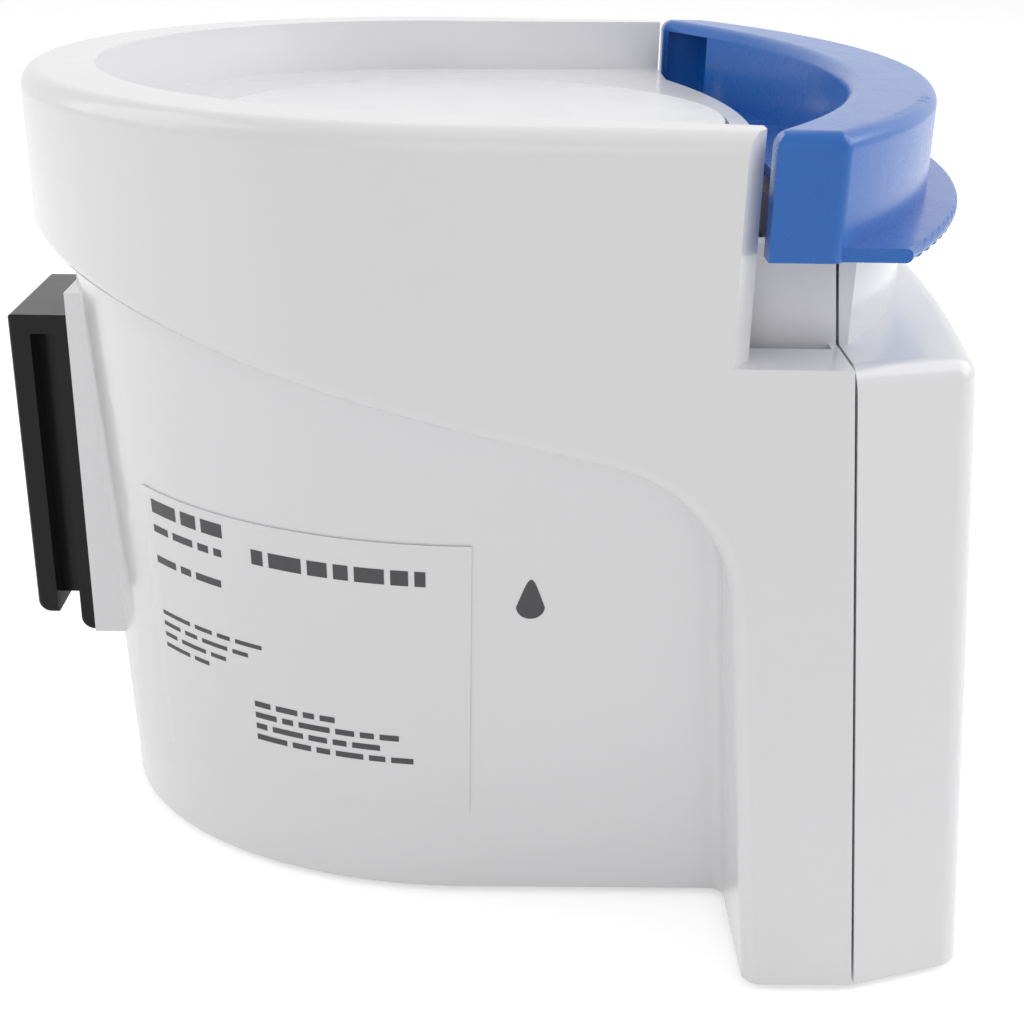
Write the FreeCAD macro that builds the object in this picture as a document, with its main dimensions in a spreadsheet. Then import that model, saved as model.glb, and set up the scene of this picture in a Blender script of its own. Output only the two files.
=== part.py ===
"""Heater base of a heated respiratory humidifier, as a parametric document.

The frame has +Z up and the control panel facing -Y. The origin is on the surface
that the base stands on, under the axis of the round chamber well.
All sizes are millimetres and all angles degrees.
"""
import FreeCAD, Part
import math
import os

import Sketcher
from FreeCAD import Placement, Rotation, Vector

doc = FreeCAD.newDocument("humidifier_base")

# ---------------------------------------------------------------------------
# Driving dimensions
# ---------------------------------------------------------------------------
SIZES = [
    ("housing", [
        ("foot_height", 1.0),
        ("ring_radius", 70.0),
        ("well_radius", 59.0),
        ("ring_top", 128.0),
        ("ring_round", 3.0),
        ("ring_front", 34.0),
        ("ring_tab", 2.6),
        ("well_flare", 7.0),
        ("deck_level", 119.0),
        ("deck_thickness", 6.0),
        ("deck_front", 44.6),
        ("deck_front_radius", 145.0),
        ("deck_wall", 3.0),
        ("ledge_level", 98.5),
        ("housing_wall", 2.8),
        ("drum_wall", 3.0),
        ("skirt_height", 88.6),
        ("skirt_slope", 13.5),
        ("skirt_corner", 22.0),
        ("skirt_round", 2.6),
        ("root_round", 2.0),
        ("block_root_round", 7.0),
        ("body_half_width", 46.0),
        ("body_rear", 61.5),
        ("body_side_taper", 10.0),
        ("body_top", 106.0),
        ("body_rear_taper", 1.9),
        ("block_rear", 43.0),
        ("seam_front", 59.5),
        ("seam_gap", 0.4),
        ("rib_outer", 58.0),
        ("rib_wall", 3.5),
        ("neck_top", 112.0),
    ]),
    ("front", [
        ("panel_front", 82.4),
        ("panel_lean", 5.7),
        ("panel_crown", 400.0),
        ("corner_inset", 5.6),
        ("bezel_wall", 2.8),
        ("bezel_corner", 5.0),
        ("bezel_top_round", 3.6),
        ("overlay_width", 104.0),
        ("overlay_bottom", 12.0),
        ("overlay_top", 88.0),
        ("overlay_thick", 0.6),
        ("window_width", 46.0),
        ("window_height", 22.0),
        ("window_middle", 70.0),
        ("button_radius", 6.0),
        ("button_gap", 0.35),
        ("button_height", 30.0),
        ("button_pitch", 30.0),
        ("button_proud", 1.4),
        ("button_press", 0.8),
        ("board_depth", 12.0),
        ("board_thick", 1.6),
        ("lamp_radius", 1.6),
        ("lamp_height", 49.0),
        ("lamp_pitch", 13.0),
    ]),
    ("guard", [
        ("guard_top", 128.2),
        ("guard_height", 16.0),
        ("guard_half_width", 69.5),
        ("guard_rear", 37.5),
        ("guard_front", 71.5),
        ("guard_front_radius", 108.0),
        ("guard_back", 58.0),
        ("guard_back_radius", 116.0),
        ("guard_wall", 2.0),
        ("guard_travel", 10.0),
        ("guard_round", 2.2),
        ("lip_front", 75.4),
        ("lip_radius", 129.0),
        ("lip_thick", 1.8),
        ("lip_round", 0.7),
        ("neck_clearance", 0.8),
        ("neck_wall", 2.0),
        ("pin_radius", 1.4),
        ("pin_spread", 30.0),
        ("pin_clearance", 0.25),
        ("pin_seat", 3.0),
        ("spring_radius", 2.6),
        ("spring_wire", 0.6),
    ]),
    ("heater", [
        ("plate_radius", 41.0),
        ("plate_proud", 0.6),
        ("plate_flange", 3.0),
        ("plate_depth", 7.6),
        ("plate_step", 4.0),
        ("plate_gap", 0.6),
        ("gasket_thick", 0.5),
        ("element_thick", 3.0),
        ("clamp_thick", 2.0),
        ("retainer_thick", 2.5),
    ]),
    ("inside", [
        ("cover_thick", 2.5),
        ("cover_gap", 0.3),
        ("mainboard_level", 12.0),
        ("mainboard_width", 74.0),
        ("mainboard_depth", 40.0),
        ("mainboard_front", 46.0),
        ("coil_radius", 22.0),
        ("coil_height", 24.0),
        ("coil_bore", 8.0),
        ("coil_place", 26.0),
        ("foot_radius", 6.0),
        ("foot_spread", 32.0),
        ("screw_radius", 1.5),
    ]),
    ("outside", [
        ("rail_half_width", 13.2),
        ("rail_rear", 75.2),
        ("rail_front", 65.3),
        ("rail_plate", 3.5),
        ("rail_front_plate", 2.5),
        ("rail_web", 8.5),
        ("rail_top", 88.0),
        ("rail_bottom", 34.0),
        ("rail_tongue", 3.0),
        ("rail_cap", 3.2),
        ("rail_end_round", 2.2),
        ("rail_round", 0.8),
        ("pad_half_width", 14.2),
        ("pad_bottom", 31.0),
        ("pad_top", 92.0),
        ("socket_height", 58.0),
        ("socket_reach", 63.0),
        ("socket_radius", 9.0),
        ("socket_bore", 6.5),
        ("socket_pitch", 28.0),
        ("gland_radius", 7.0),
        ("gland_place", 24.0),
        ("gland_height", 16.0),
        ("gland_reach", 62.5),
        ("label_bottom", 18.0),
        ("label_top", 68.0),
        ("label_front", 1.0),
        ("label_rear", 50.0),
        ("label_thick", 0.2),
    ]),
]

sheet = doc.addObject("Spreadsheet::Sheet", "Sizes")
row = 0
for group, cells in SIZES:
    row += 1
    sheet.set("A%d" % row, group)
    for alias, number in cells:
        row += 1
        sheet.set("A%d" % row, alias.replace("_", " "))
        sheet.set("B%d" % row, str(number))
        sheet.setAlias("B%d" % row, alias)
doc.recompute()

ALIASES = sorted((alias for _, cells in SIZES for alias, _ in cells), key=len, reverse=True)


def bind(text):
    """Write an expression on the sheet's cells: each bare alias becomes a reference to it."""
    words = []
    word = ""
    for letter in str(text) + " ":
        if letter.isalnum() or letter in "_.":
            word += letter
            continue
        words.append("Sizes." + word if word in ALIASES else word)
        words.append(letter)
        word = ""
    return "".join(words).strip()


def size(text):
    """The number that an expression on the sheet's cells gives now."""
    value = sheet.evalExpression(bind(text))
    return float(getattr(value, "Value", value))


# ---------------------------------------------------------------------------
# Ways of making and placing a solid
# ---------------------------------------------------------------------------
NODES = []
AXES = {
    "z": Rotation(),
    "y": Rotation(Vector(1, 0, 0), -90),
    "x": Rotation(Vector(0, 1, 0), 90),
}
PANEL_TURN = Rotation(Vector(1, 0, 0), -size("panel_lean"))


def keep(obj, label):
    """Name a finished sub-part, which is written to a file of that name."""
    obj.Label = label
    NODES.append(obj)
    return obj


def place(obj, at, turn=None):
    """Put an object at three bound coordinates, turned by a rotation."""
    obj.Placement = Placement(Vector(*(size(c) for c in at)), turn or Rotation())
    for axis, text in zip("xyz", at):
        obj.setExpression("Placement.Base." + axis, bind(text))
    return obj


def panel_point(across, depth, up):
    """Where a point of the leaning panel's own frame lies: across, inwards and up the panel."""
    forward = "-panel_front+(%s)*cos(panel_lean)+(%s)*sin(panel_lean)" % (depth, up)
    height = "-(%s)*sin(panel_lean)+(%s)*cos(panel_lean)" % (depth, up)
    return (across, forward, height)


def make(kind, name, sizes):
    """Add an object of the document and bind its properties."""
    obj = doc.addObject(kind, name)
    for key, text in sizes.items():
        obj.setExpression(key, bind(text))
    return obj


def box(name, across, along, up, panel=False):
    """A box between pairs of bound limits, in the part's frame or in the panel's."""
    sides = {
        "Length": "(%s)-(%s)" % (across[1], across[0]),
        "Width": "(%s)-(%s)" % (along[1], along[0]),
        "Height": "(%s)-(%s)" % (up[1], up[0]),
    }
    corner = (across[0], along[0], up[0])
    obj = make("Part::Box", name, sides)
    return place(obj, panel_point(*corner), PANEL_TURN) if panel else place(obj, corner)


def rod(name, radius, at, length, axis="z", panel=False):
    """A cylinder from a point along an axis of the part's frame or of the panel's."""
    obj = make("Part::Cylinder", name, {"Radius": radius, "Height": length})
    if panel:
        return place(obj, panel_point(*at), PANEL_TURN.multiply(AXES[axis]))
    return place(obj, at, AXES[axis])


def cone(name, first, last, at, length, axis="z"):
    """A cone from a point along an axis of the part's frame."""
    obj = make("Part::Cone", name, {"Radius1": first, "Radius2": last, "Height": length})
    return place(obj, at, AXES[axis])


def cut(name, base, tool):
    """One solid less another."""
    obj = doc.addObject("Part::Cut", name)
    obj.Base = base
    obj.Tool = tool
    return obj


def fuse(name, *pieces):
    """Several solids as one."""
    obj = doc.addObject("Part::MultiFuse", name)
    obj.Shapes = list(pieces)
    obj.Refine = True
    return obj


def common(name, *pieces):
    """What several solids share."""
    obj = doc.addObject("Part::MultiCommon", name)
    obj.Shapes = list(pieces)
    return obj


def rounded(name, base, radius, test):
    """Round the edges that a test picks, each to a bound radius."""
    doc.recompute()
    edges = [i + 1 for i, edge in enumerate(base.Shape.Edges) if test(edge)]
    obj = doc.addObject("Part::Fillet", name)
    obj.Base = base
    obj.Edges = [(i, size(radius), size(radius)) for i in edges]
    return obj


def body(name):
    """A body whose features follow."""
    return doc.addObject("PartDesign::Body", name)


def plane(owner, role):
    """One of a body's own origin planes."""
    return next(f for f in owner.Origin.OriginFeatures if f.Role == role)


def sketch(owner, name, role, corners, circles=(), level="0"):
    """A closed outline on a body's origin plane, with every corner bound to the sheet.

    A corner is (x, y), or (x, y, radius) where an arc of that radius, bulging
    outwards, runs on to the next corner. A circle is (x, y, radius).
    """
    obj = owner.newObject("Sketcher::SketchObject", name)
    obj.AttachmentSupport = [(plane(owner, role), "")]
    obj.MapMode = "FlatFace"
    obj.AttachmentOffset = Placement(Vector(0, 0, size(level)), Rotation())
    obj.setExpression("AttachmentOffset.Base.z", bind(level))
    ends = []
    points = [Vector(size(c[0]), size(c[1]), 0) for c in corners]
    middle = sum(points, Vector()) * (1.0 / len(points)) if points else Vector()
    for i, corner in enumerate(corners):
        here, there = points[i], points[(i + 1) % len(points)]
        if len(corner) == 2:
            ends.append((obj.addGeometry(Part.LineSegment(here, there), False), 1, 2))
            continue
        radius = size(corner[2])
        half = (there - here) * 0.5
        chord = here + half
        side = Vector(-half.y, half.x, 0).normalize()
        if side.dot(middle - chord) < 0:
            side = side * -1
        centre = chord + side * math.sqrt(max(radius ** 2 - half.Length ** 2, 0.0))
        angles = [math.atan2(p.y - centre.y, p.x - centre.x) for p in (here, there)]
        turn = (angles[1] - angles[0]) % (2 * math.pi)
        circle = Part.Circle(centre, Vector(0, 0, 1), radius)
        onward = turn <= math.pi + 1e-6
        first, last = angles if onward else reversed(angles)
        index = obj.addGeometry(Part.ArcOfCircle(circle, first, last), False)
        ends.append((index, 1, 2) if onward else (index, 2, 1))
    for i, (index, first, last) in enumerate(ends):
        after = ends[(i + 1) % len(ends)]
        obj.addConstraint(Sketcher.Constraint("Coincident", index, last, after[0], after[1]))
        fix(obj, index, first, corners[i])
        if len(corners[i]) == 3:
            limit(obj, Sketcher.Constraint("Radius", index, size(corners[i][2])), corners[i][2])
    for x, y, radius in circles:
        circle = Part.Circle(Vector(size(x), size(y), 0), Vector(0, 0, 1), size(radius))
        index = obj.addGeometry(circle, False)
        fix(obj, index, 3, (x, y))
        limit(obj, Sketcher.Constraint("Radius", index, size(radius)), radius)
    return obj


def limit(obj, constraint, text):
    """Add a constraint to a sketch and bind its value."""
    index = obj.addConstraint(constraint)
    obj.setExpression("Constraints[%d]" % index, bind(text))


def fix(obj, index, end, at):
    """Bind one point of a sketch to two coordinates from its origin."""
    for kind, text, axis in (("DistanceX", at[0], -2), ("DistanceY", at[1], -1)):
        if abs(size(text)) < 1e-9:
            obj.addConstraint(Sketcher.Constraint("PointOnObject", index, end, axis))
        else:
            limit(obj, Sketcher.Constraint(kind, -1, 1, index, end, size(text)), text)


def pad(owner, profile, length, kind="PartDesign::Pad", reverse=False):
    """Pad or pocket a sketch by a bound length."""
    obj = owner.newObject(kind, profile.Name + "_feature")
    obj.Profile = profile
    obj.setExpression("Length", bind(length))
    obj.Reversed = reverse
    return obj


def mirrored(corners):
    """The corners of the +X side, then those of the -X side, with each arc mirrored too."""
    other = []
    for i in reversed(range(len(corners))):
        arc = tuple(corners[i - 1][2:]) if i else ()
        other.append(("-(%s)" % corners[i][0], corners[i][1]) + arc)
    return corners + other


def seam(level):
    """How far in front of the axis the seam between housing and bezel lies at a level."""
    return "(seam_front-tan(panel_lean)*(%s))" % level


def crown_front(half_width, level, inset="0"):
    """How far in front of the axis the crowned front face is at a half width and a level."""
    radius = "(panel_crown-(%s))" % inset
    rise = "(%s-sqrt(%s^2-(%s)^2))" % (radius, radius, half_width)
    return "(panel_front-(%s)-tan(panel_lean)*(%s)-%s)" % (inset, level, rise)


BASE = "foot_height"
FAR = "ring_radius*3"

# ---------------------------------------------------------------------------
# Rear housing: drum with the chamber well, tapered lower body, flush front block
# ---------------------------------------------------------------------------


def flush_shape(name, inset, bottom, low_top, top, front):
    """The drum and the block in front of it, whose sides are flush: a D in plan.

    The part in front of the axis is drawn from the side. It has the upright ring
    end, the ledge in front of it and the leaning seam, and is as wide as the drum.
    """
    wide = "(ring_radius-(%s))" % inset
    rear = rod(name + "_rear", wide, ("0", "0", bottom), "(%s)-(%s)" % (top, bottom))
    rear.Angle = 180
    owner = body(name + "_front")
    corners = [
        ("0", bottom),
        ("-%s-(%s)" % (seam(bottom), front), bottom),
        ("-%s-(%s)" % (seam(low_top), front), low_top),
        ("-ring_front-ring_tab+(%s)" % inset, low_top),
        ("-ring_front-ring_tab+(%s)" % inset, top),
        ("0", top),
    ]
    feature = pad(owner, sketch(owner, name + "_side", "YZ_Plane", corners), "2*" + wide)
    feature.Midplane = True
    return fuse(name, rear, owner)


def body_section(inset, front, level):
    """The lower body in plan at one level: a half ellipse at the rear and flat sides."""
    half = size("body_half_width+tan(body_side_taper)*(%s)" % level) - inset
    rear = size("body_rear+tan(body_rear_taper)*(%s)" % level) - inset
    height = size(level)
    centre = Vector(0, 0, height)
    back, flank = Vector(0, rear, height), Vector(half, 0, height)
    if rear >= half:
        curve = Part.Ellipse(back, centre - Vector(half, 0, 0), centre)
        start = -math.pi / 2
    else:
        curve = Part.Ellipse(flank, back, centre)
        start = 0.0
    round_end = Part.ArcOfEllipse(curve, start, start + math.pi).toShape()
    corners = [
        Vector(-half, 0, height),
        Vector(-half, -front, height),
        Vector(half, -front, height),
        flank,
    ]
    flats = [Part.makeLine(corners[i], corners[i + 1]) for i in range(3)]
    return Part.Wire([round_end] + flats)


def lower_body(name, inset, front, bottom, top):
    """The narrow lower body, which widens from the base to the drum."""
    sections = [body_section(inset, front, level) for level in (bottom, top)]
    obj = doc.addObject("Part::Feature", name)
    obj.Shape = Part.makeLoft(sections, True, True)
    return obj


def side_recess(name, wall):
    """What is taken away beside and behind the lower body, under the drum's slanted skirt.

    In side view its two upper edges, the skirt and the block's rear face, meet in an
    arc. With a wall it stays that far outside, and leaves the shape of the hollow.
    """
    owner = body(name)
    rear = "(block_rear+(%s))" % wall
    skirt = "(skirt_height+(%s)/cos(skirt_slope))" % wall
    lean = "tan(panel_lean)"
    meet = "((%s-tan(skirt_slope)*%s)/(1-tan(skirt_slope)*%s))" % (skirt, rear, lean)
    run = "(skirt_corner/tan((90+skirt_slope+panel_lean)/2))"
    behind = "ring_radius*1.5"
    corners = [
        ("-%s-%s*%s" % (rear, lean, BASE), "-" + BASE),
        (
            "-%s+%s*%s-%s*sin(panel_lean)" % (rear, lean, meet, run),
            "%s-%s*cos(panel_lean)" % (meet, run),
            "skirt_corner",
        ),
        (
            "-%s+%s*%s+%s*cos(skirt_slope)" % (rear, lean, meet, run),
            "%s+%s*sin(skirt_slope)" % (meet, run),
        ),
        (behind, "%s+tan(skirt_slope)*%s" % (skirt, behind)),
        (behind, "-" + BASE),
    ]
    profile = sketch(owner, name + "_side", "YZ_Plane", corners)
    feature = pad(owner, profile, "ring_radius*4")
    feature.Midplane = True
    return owner


outer = flush_shape("flush", "0", BASE, "ledge_level", "ring_top", "0")
recessed = cut("recessed", outer, side_recess("recess", "0"))


def skirt_edge(edge):
    """Whether an edge bounds the recess on the outside: the skirt's and the block's rim."""
    box_ = edge.BoundBox
    wide = size("ring_radius")
    outside = max(abs(box_.XMin), abs(box_.XMax)) > wide - 0.01
    low = box_.ZMax < size("skirt_height+tan(skirt_slope)*ring_radius") + 0.01
    upright = box_.YMin > -size("block_rear") - 0.01
    spans = box_.YMax - box_.YMin < 0.01 and box_.ZMin > size(BASE) + 1
    flat = abs(box_.XMax - box_.XMin) > 1 and box_.YMax < 0.01
    return outside and low and upright and not flat and not spans


softened = rounded("softened", recessed, "skirt_round", skirt_edge)

solid_body = lower_body("solid_body", 0.0, size("block_rear+housing_wall"), BASE, "body_top")
above_ledge = box(
    "above_ledge",
    ("-" + FAR, FAR),
    ("-" + FAR, "-ring_front-ring_tab"),
    ("ledge_level", "ring_top+1"),
)
joined = cut("joined", fuse("drum_and_body", softened, solid_body), above_ledge)


def rooted(name, base):
    """Round the inner corner where the lower body meets the skirt and, wider, the block."""
    doc.recompute()
    reach = size("ring_radius-skirt_round") - 0.5
    slope = math.tan(math.radians(size("skirt_slope")))
    edges = []
    for i, edge in enumerate(base.Shape.Edges):
        ends = [edge.firstVertex().Point, edge.lastVertex().Point]
        on_block = [abs(p.y + size("block_rear")) < 0.01 for p in ends]
        on_skirt = [abs(p.z - size("skirt_height") - slope * p.y) < 0.05 for p in ends]
        inner = all(abs(p.x) < reach for p in ends)
        if inner and all(b or k for b, k in zip(on_block, on_skirt)):
            radii = [size("block_root_round" if b else "root_round") for b in on_block]
            edges.append((i + 1, radii[0], radii[1]))
    obj = doc.addObject("Part::Fillet", name)
    obj.Base = base
    obj.Edges = edges
    return obj


rooted_shape = rooted("rooted_shape", joined)


def at_level(edge, level):
    """Whether an edge lies flat at a level."""
    frame = edge.BoundBox
    return abs(frame.ZMin - size(level)) < 0.01 and abs(frame.ZMax - size(level)) < 0.01


def ring_edge(edge):
    """Whether an edge is the outer top edge of the ring."""
    return at_level(edge, "ring_top") and edge.BoundBox.YMax > -size("ring_front")


RING_END = "(ring_front+ring_tab)"
DECK_UNDER = "(deck_level-deck_thickness)"
LEDGE_UNDER = "(ledge_level-housing_wall)"
softened_ring = rounded("softened_ring", rooted_shape, "ring_round", ring_edge)

ring_corner = body("ring_corner")
ring_corner_plan = sketch(
    ring_corner,
    "ring_corner_plan",
    "XY_Plane",
    [
        ("ring_radius-ring_tab*1.5", "-" + RING_END),
        ("ring_radius", "-ring_front"),
        ("ring_radius+ring_tab", "-ring_front"),
        ("ring_radius+ring_tab", "-ring_front-ring_tab*2"),
        ("ring_radius-ring_tab*1.5", "-ring_front-ring_tab*2"),
    ],
    level="ledge_level",
)
pad(ring_corner, ring_corner_plan, "ring_top")
other_corner = doc.addObject("Part::Mirroring", "other_corner")
other_corner.Source = ring_corner
other_corner.Normal = Vector(1, 0, 0)

well_mouth = body("well_mouth")
mouth = [
    ("well_radius", "0"),
    ("well_radius+tan(well_flare)*(%s+ring_tab)" % RING_END, "-%s-ring_tab" % RING_END),
]
pad(
    well_mouth,
    sketch(well_mouth, "mouth_plan", "XY_Plane", mirrored(mouth), level="deck_level"),
    "ring_top",
)
well = fuse(
    "well",
    rod("well_round", "well_radius", ("0", "0", "deck_level"), "ring_top"),
    well_mouth,
)

bracket_pad = box(
    "bracket_pad",
    ("-pad_half_width", "pad_half_width"),
    ("rail_front/2", "rail_front"),
    ("pad_bottom", "pad_top"),
)
SOCKETS = {
    "probe_socket": "-socket_pitch*0.8",
    "heater_wire_socket": "socket_pitch*0.2",
}
socket_bosses = [
    rod(name + "_boss", "socket_radius", ("body_half_width/2", along, "socket_height"),
        "socket_reach-body_half_width/2", "x")
    for name, along in SOCKETS.items()
]
full_shape = fuse("full_shape", softened_ring, bracket_pad, *socket_bosses)

upper_hollow = cut(
    "upper_hollow",
    flush_shape("hollow", "drum_wall", BASE + "+housing_wall", LEDGE_UNDER, DECK_UNDER, "1"),
    side_recess("hollow_recess", "housing_wall"),
)
WALL = size("housing_wall")
BODY_FRONT = size("block_rear+2*housing_wall")
lower_hollow = lower_body("lower_hollow", WALL, BODY_FRONT, BASE + "-1", "body_top")
hollow = fuse("whole_hollow", upper_hollow, lower_hollow)

nose_round = rod(
    "nose_round",
    "deck_front_radius",
    ("0", "deck_front_radius-deck_front", LEDGE_UNDER),
    "deck_level-" + LEDGE_UNDER,
)
RIB_INNER = "(rib_outer-rib_wall)"
nose_block = box(
    "nose_block",
    ("-" + RIB_INNER, RIB_INNER),
    ("-deck_front-1", "-ring_front"),
    (LEDGE_UNDER, "deck_level"),
)
nose_inside = rod(
    "nose_inside",
    "deck_front_radius-deck_wall",
    ("0", "deck_front_radius-deck_front", LEDGE_UNDER + "-1"),
    DECK_UNDER + "+1-" + LEDGE_UNDER,
)
nose_room = box(
    "nose_room",
    ("-%s+deck_wall" % RIB_INNER, RIB_INNER + "-deck_wall"),
    ("-deck_front-1", "-ring_front+1"),
    (LEDGE_UNDER + "-1", DECK_UNDER),
)
deck_nose = common("deck_nose", nose_block, nose_round)
nose_hollow = common("nose_hollow", nose_inside, nose_room)


def rib(name, start):
    """A flat rib on the ledge, from the ring's end to the seam, beside the deck's nose."""
    owner = body(name)
    corners = [
        ("-" + RING_END + "+1", "ledge_level-1"),
        ("-" + RING_END + "+1", "neck_top"),
        ("-" + seam("neck_top"), "neck_top"),
        ("-" + seam("ledge_level-1"), "ledge_level-1"),
    ]
    pad(owner, sketch(owner, name + "_side", "YZ_Plane", corners, level=start), "rib_wall")
    return owner


SCREW_WIDE = "screw_radius*3"
SCREWS = {
    "cover_screw_front_left": ("-(body_half_width-10)", "-block_rear+15"),
    "cover_screw_front_right": ("(body_half_width-10)", "-block_rear+15"),
    "cover_screw_rear_left": ("-(body_half_width*0.55)", "body_rear*0.62"),
    "cover_screw_rear_right": ("(body_half_width*0.55)", "body_rear*0.62"),
}


def cover_boss(name, across, along):
    """A boss for one cover screw, which stands inside the lower body against its wall."""
    spans = []
    for middle in (across, along):
        spans.append([middle + "-" + SCREW_WIDE, middle + "+" + SCREW_WIDE])
    if size(along) > 0:
        spans[1][1] = FAR
    elif size(across) > 0:
        spans[0][1] = FAR
    else:
        spans[0][0] = "-" + FAR
    boss = box(name, spans[0], spans[1], (BASE + "+cover_thick", "mainboard_level-0.5"))
    return common(name + "_trimmed", boss, solid_body)


bosses = [cover_boss(name + "_boss", *at) for name, at in SCREWS.items()]
opened = cut("opened", full_shape, fuse("all_hollow", hollow, nose_hollow, well))
trimmed = cut("trimmed", opened, fuse("ring_corners", ring_corner, other_corner))
built_up = fuse(
    "built_up",
    trimmed,
    cut("nose_shell", deck_nose, nose_hollow),
    rib("left_rib", "-rib_outer"),
    rib("right_rib", RIB_INNER),
    *bosses
)
holes = [
    rod("plate_seat", "plate_radius+plate_gap", ("0", "0", "deck_level-plate_flange"), "plate_flange+1"),
    rod("plate_hole", "plate_radius-plate_step+plate_gap", ("0", "0", DECK_UNDER + "-1"),
        "deck_thickness+2"),
    rod("gland_hole", "gland_radius-1", ("gland_place", "body_rear/2", "gland_height"), "body_rear", "y"),
]
holes += [
    rod(name + "_hole", "socket_bore", ("body_half_width/2", along, "socket_height"), "ring_radius", "x")
    for name, along in SOCKETS.items()
]
RAIL_SCREWS = {"rail_screw_upper": "rail_top-12", "rail_screw_lower": "rail_bottom+12"}
RAIL_SHANK = "1.7"
holes += [
    rod(name + "_hole", RAIL_SHANK + "+0.2", ("0", "body_rear/2", up), "body_rear", "y")
    for name, up in RAIL_SCREWS.items()
]
holes += [
    rod(name + "_hole", "screw_radius", (at[0], at[1], BASE), "mainboard_level")
    for name, at in SCREWS.items()
]
rear_housing = keep(cut("rear_housing", built_up, fuse("holes", *holes)), "rear_housing")

# ---------------------------------------------------------------------------
# Front bezel and what the control panel is made of
# ---------------------------------------------------------------------------


def bezel_shape(name, inset, back, bottom, top, behind="0"):
    """The bezel's outer form: flush sides, sides turned in, and a crowned, leaning front."""
    owner = body(name)
    half = "(ring_radius-corner_inset-(%s))" % inset
    right = [
        ("ring_radius-(%s)" % inset, "-%s+(%s)" % (seam(bottom), behind)),
        (half, "-" + crown_front(half, bottom, back), "panel_crown-(%s)" % back),
    ]
    profile = sketch(owner, name + "_plan", "XY_Plane", mirrored(right), level=bottom)
    feature = pad(owner, profile, "(%s)-(%s)" % (top, bottom))
    feature.UseCustomVector = True
    feature.Direction = Vector(0, math.tan(math.radians(size("panel_lean"))), 1)
    feature.AlongSketchNormal = True
    return owner


def bezel_corner(edge):
    """Whether an edge is one of the bezel's two upright front corners."""
    frame = edge.BoundBox
    near = abs(max(frame.XMax, -frame.XMin) - size("ring_radius-corner_inset")) < 0.05
    return near and frame.ZMax - frame.ZMin > size("ledge_level") / 2


def bezel_rim(edge):
    """Whether an edge bounds the bezel's top, except along the seam."""
    return at_level(edge, "ledge_level") and edge.BoundBox.YMin < -size(seam("ledge_level")) - 0.1


bezel_outer = bezel_shape("bezel_outer", "0", "0", BASE, "ledge_level")
bezel_cornered = rounded("bezel_cornered", bezel_outer, "bezel_corner", bezel_corner)
bezel_form = rounded("bezel_form", bezel_cornered, "bezel_top_round", bezel_rim)
bezel_inner = bezel_shape(
    "bezel_inner", "drum_wall", "bezel_wall", BASE + "+housing_wall", LEDGE_UNDER, "1"
)
bezel_back = bezel_shape("bezel_back", "0", "overlay_thick", BASE, "ledge_level", "1")
overlay_window = box(
    "overlay_window",
    ("-overlay_width/2", "overlay_width/2"),
    ("-overlay_width/4", "overlay_width/4"),
    ("overlay_bottom", "overlay_top"),
    panel=True,
)
overlay_sheet = common("overlay_sheet", cut("bezel_skin", bezel_form, bezel_back), overlay_window)

FRONT_Y = "guard_front_radius-guard_front"
BACK_Y = "guard_back_radius-guard_back"
NECK = "(guard_wall+neck_clearance)"
neck_front = rod(
    "neck_front",
    "guard_front_radius-%s" % NECK,
    ("0", FRONT_Y, LEDGE_UNDER + "+1"),
    "neck_top-%s-1" % LEDGE_UNDER,
)
neck_back = rod(
    "neck_back",
    "guard_front_radius-%s-neck_wall" % NECK,
    ("0", FRONT_Y, "0"),
    "ring_top",
)
neck_span = box(
    "neck_span",
    ("-rib_outer", "rib_outer"),
    ("-guard_front", "-ring_front"),
    ("0", "neck_top"),
)
front_zone = body("front_zone")
front_zone_corners = [
    ("-" + seam("-1"), "-1"),
    ("-" + seam("ring_top"), "ring_top"),
    ("-panel_front*2", "ring_top"),
    ("-panel_front*2", "-1"),
]
front_zone_pad = pad(
    front_zone,
    sketch(front_zone, "front_zone_side", "YZ_Plane", front_zone_corners),
    "ring_radius*3",
)
front_zone_pad.Midplane = True
neck = cut("neck", common("neck_blank", neck_front, neck_span, front_zone), neck_back)


def sag(across):
    """How far the crowned panel falls back at a distance from the middle."""
    return "(panel_crown-sqrt(panel_crown^2-(%s)^2))" % across


BUTTONS = {"mute_button": "-button_pitch", "mode_button": "0", "power_button": "button_pitch"}
LAMPS = {"lamp_%d" % (i + 1): "%s*lamp_pitch" % (i - 1.5) for i in range(4)}
PILLARS = [(a, u) for a in ("-1", "1") for u in ("overlay_bottom+6", "overlay_top-6")]
PILLAR_ACROSS = "(overlay_width/2-8)"
PILLAR_START = "(%s+bezel_wall/2)" % sag(PILLAR_ACROSS)
window_opening = box(
    "window_opening",
    ("-window_width/2", "window_width/2"),
    ("-5", "bezel_wall+2"),
    ("window_middle-window_height/2", "window_middle+window_height/2"),
    panel=True,
)
button_holes = [
    rod(name + "_hole", "button_radius+button_gap", (across, "-5", "button_height"),
        "bezel_wall+8", "y", panel=True)
    for name, across in BUTTONS.items()
]
lamp_holes = [
    rod(name + "_hole", "lamp_radius", (across, "-5", "lamp_height"), "bezel_wall+8", "y", panel=True)
    for name, across in LAMPS.items()
]
panel_openings = fuse("panel_openings", window_opening, *button_holes, *lamp_holes)
pillars = [
    rod("pillar_%d" % (i + 1), "screw_radius*2", (sign + "*" + PILLAR_ACROSS, PILLAR_START, up),
        "board_depth-" + PILLAR_START, "y", panel=True)
    for i, (sign, up) in enumerate(PILLARS)
]
PINS = {"left": "-pin_spread", "right": "pin_spread"}


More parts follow.
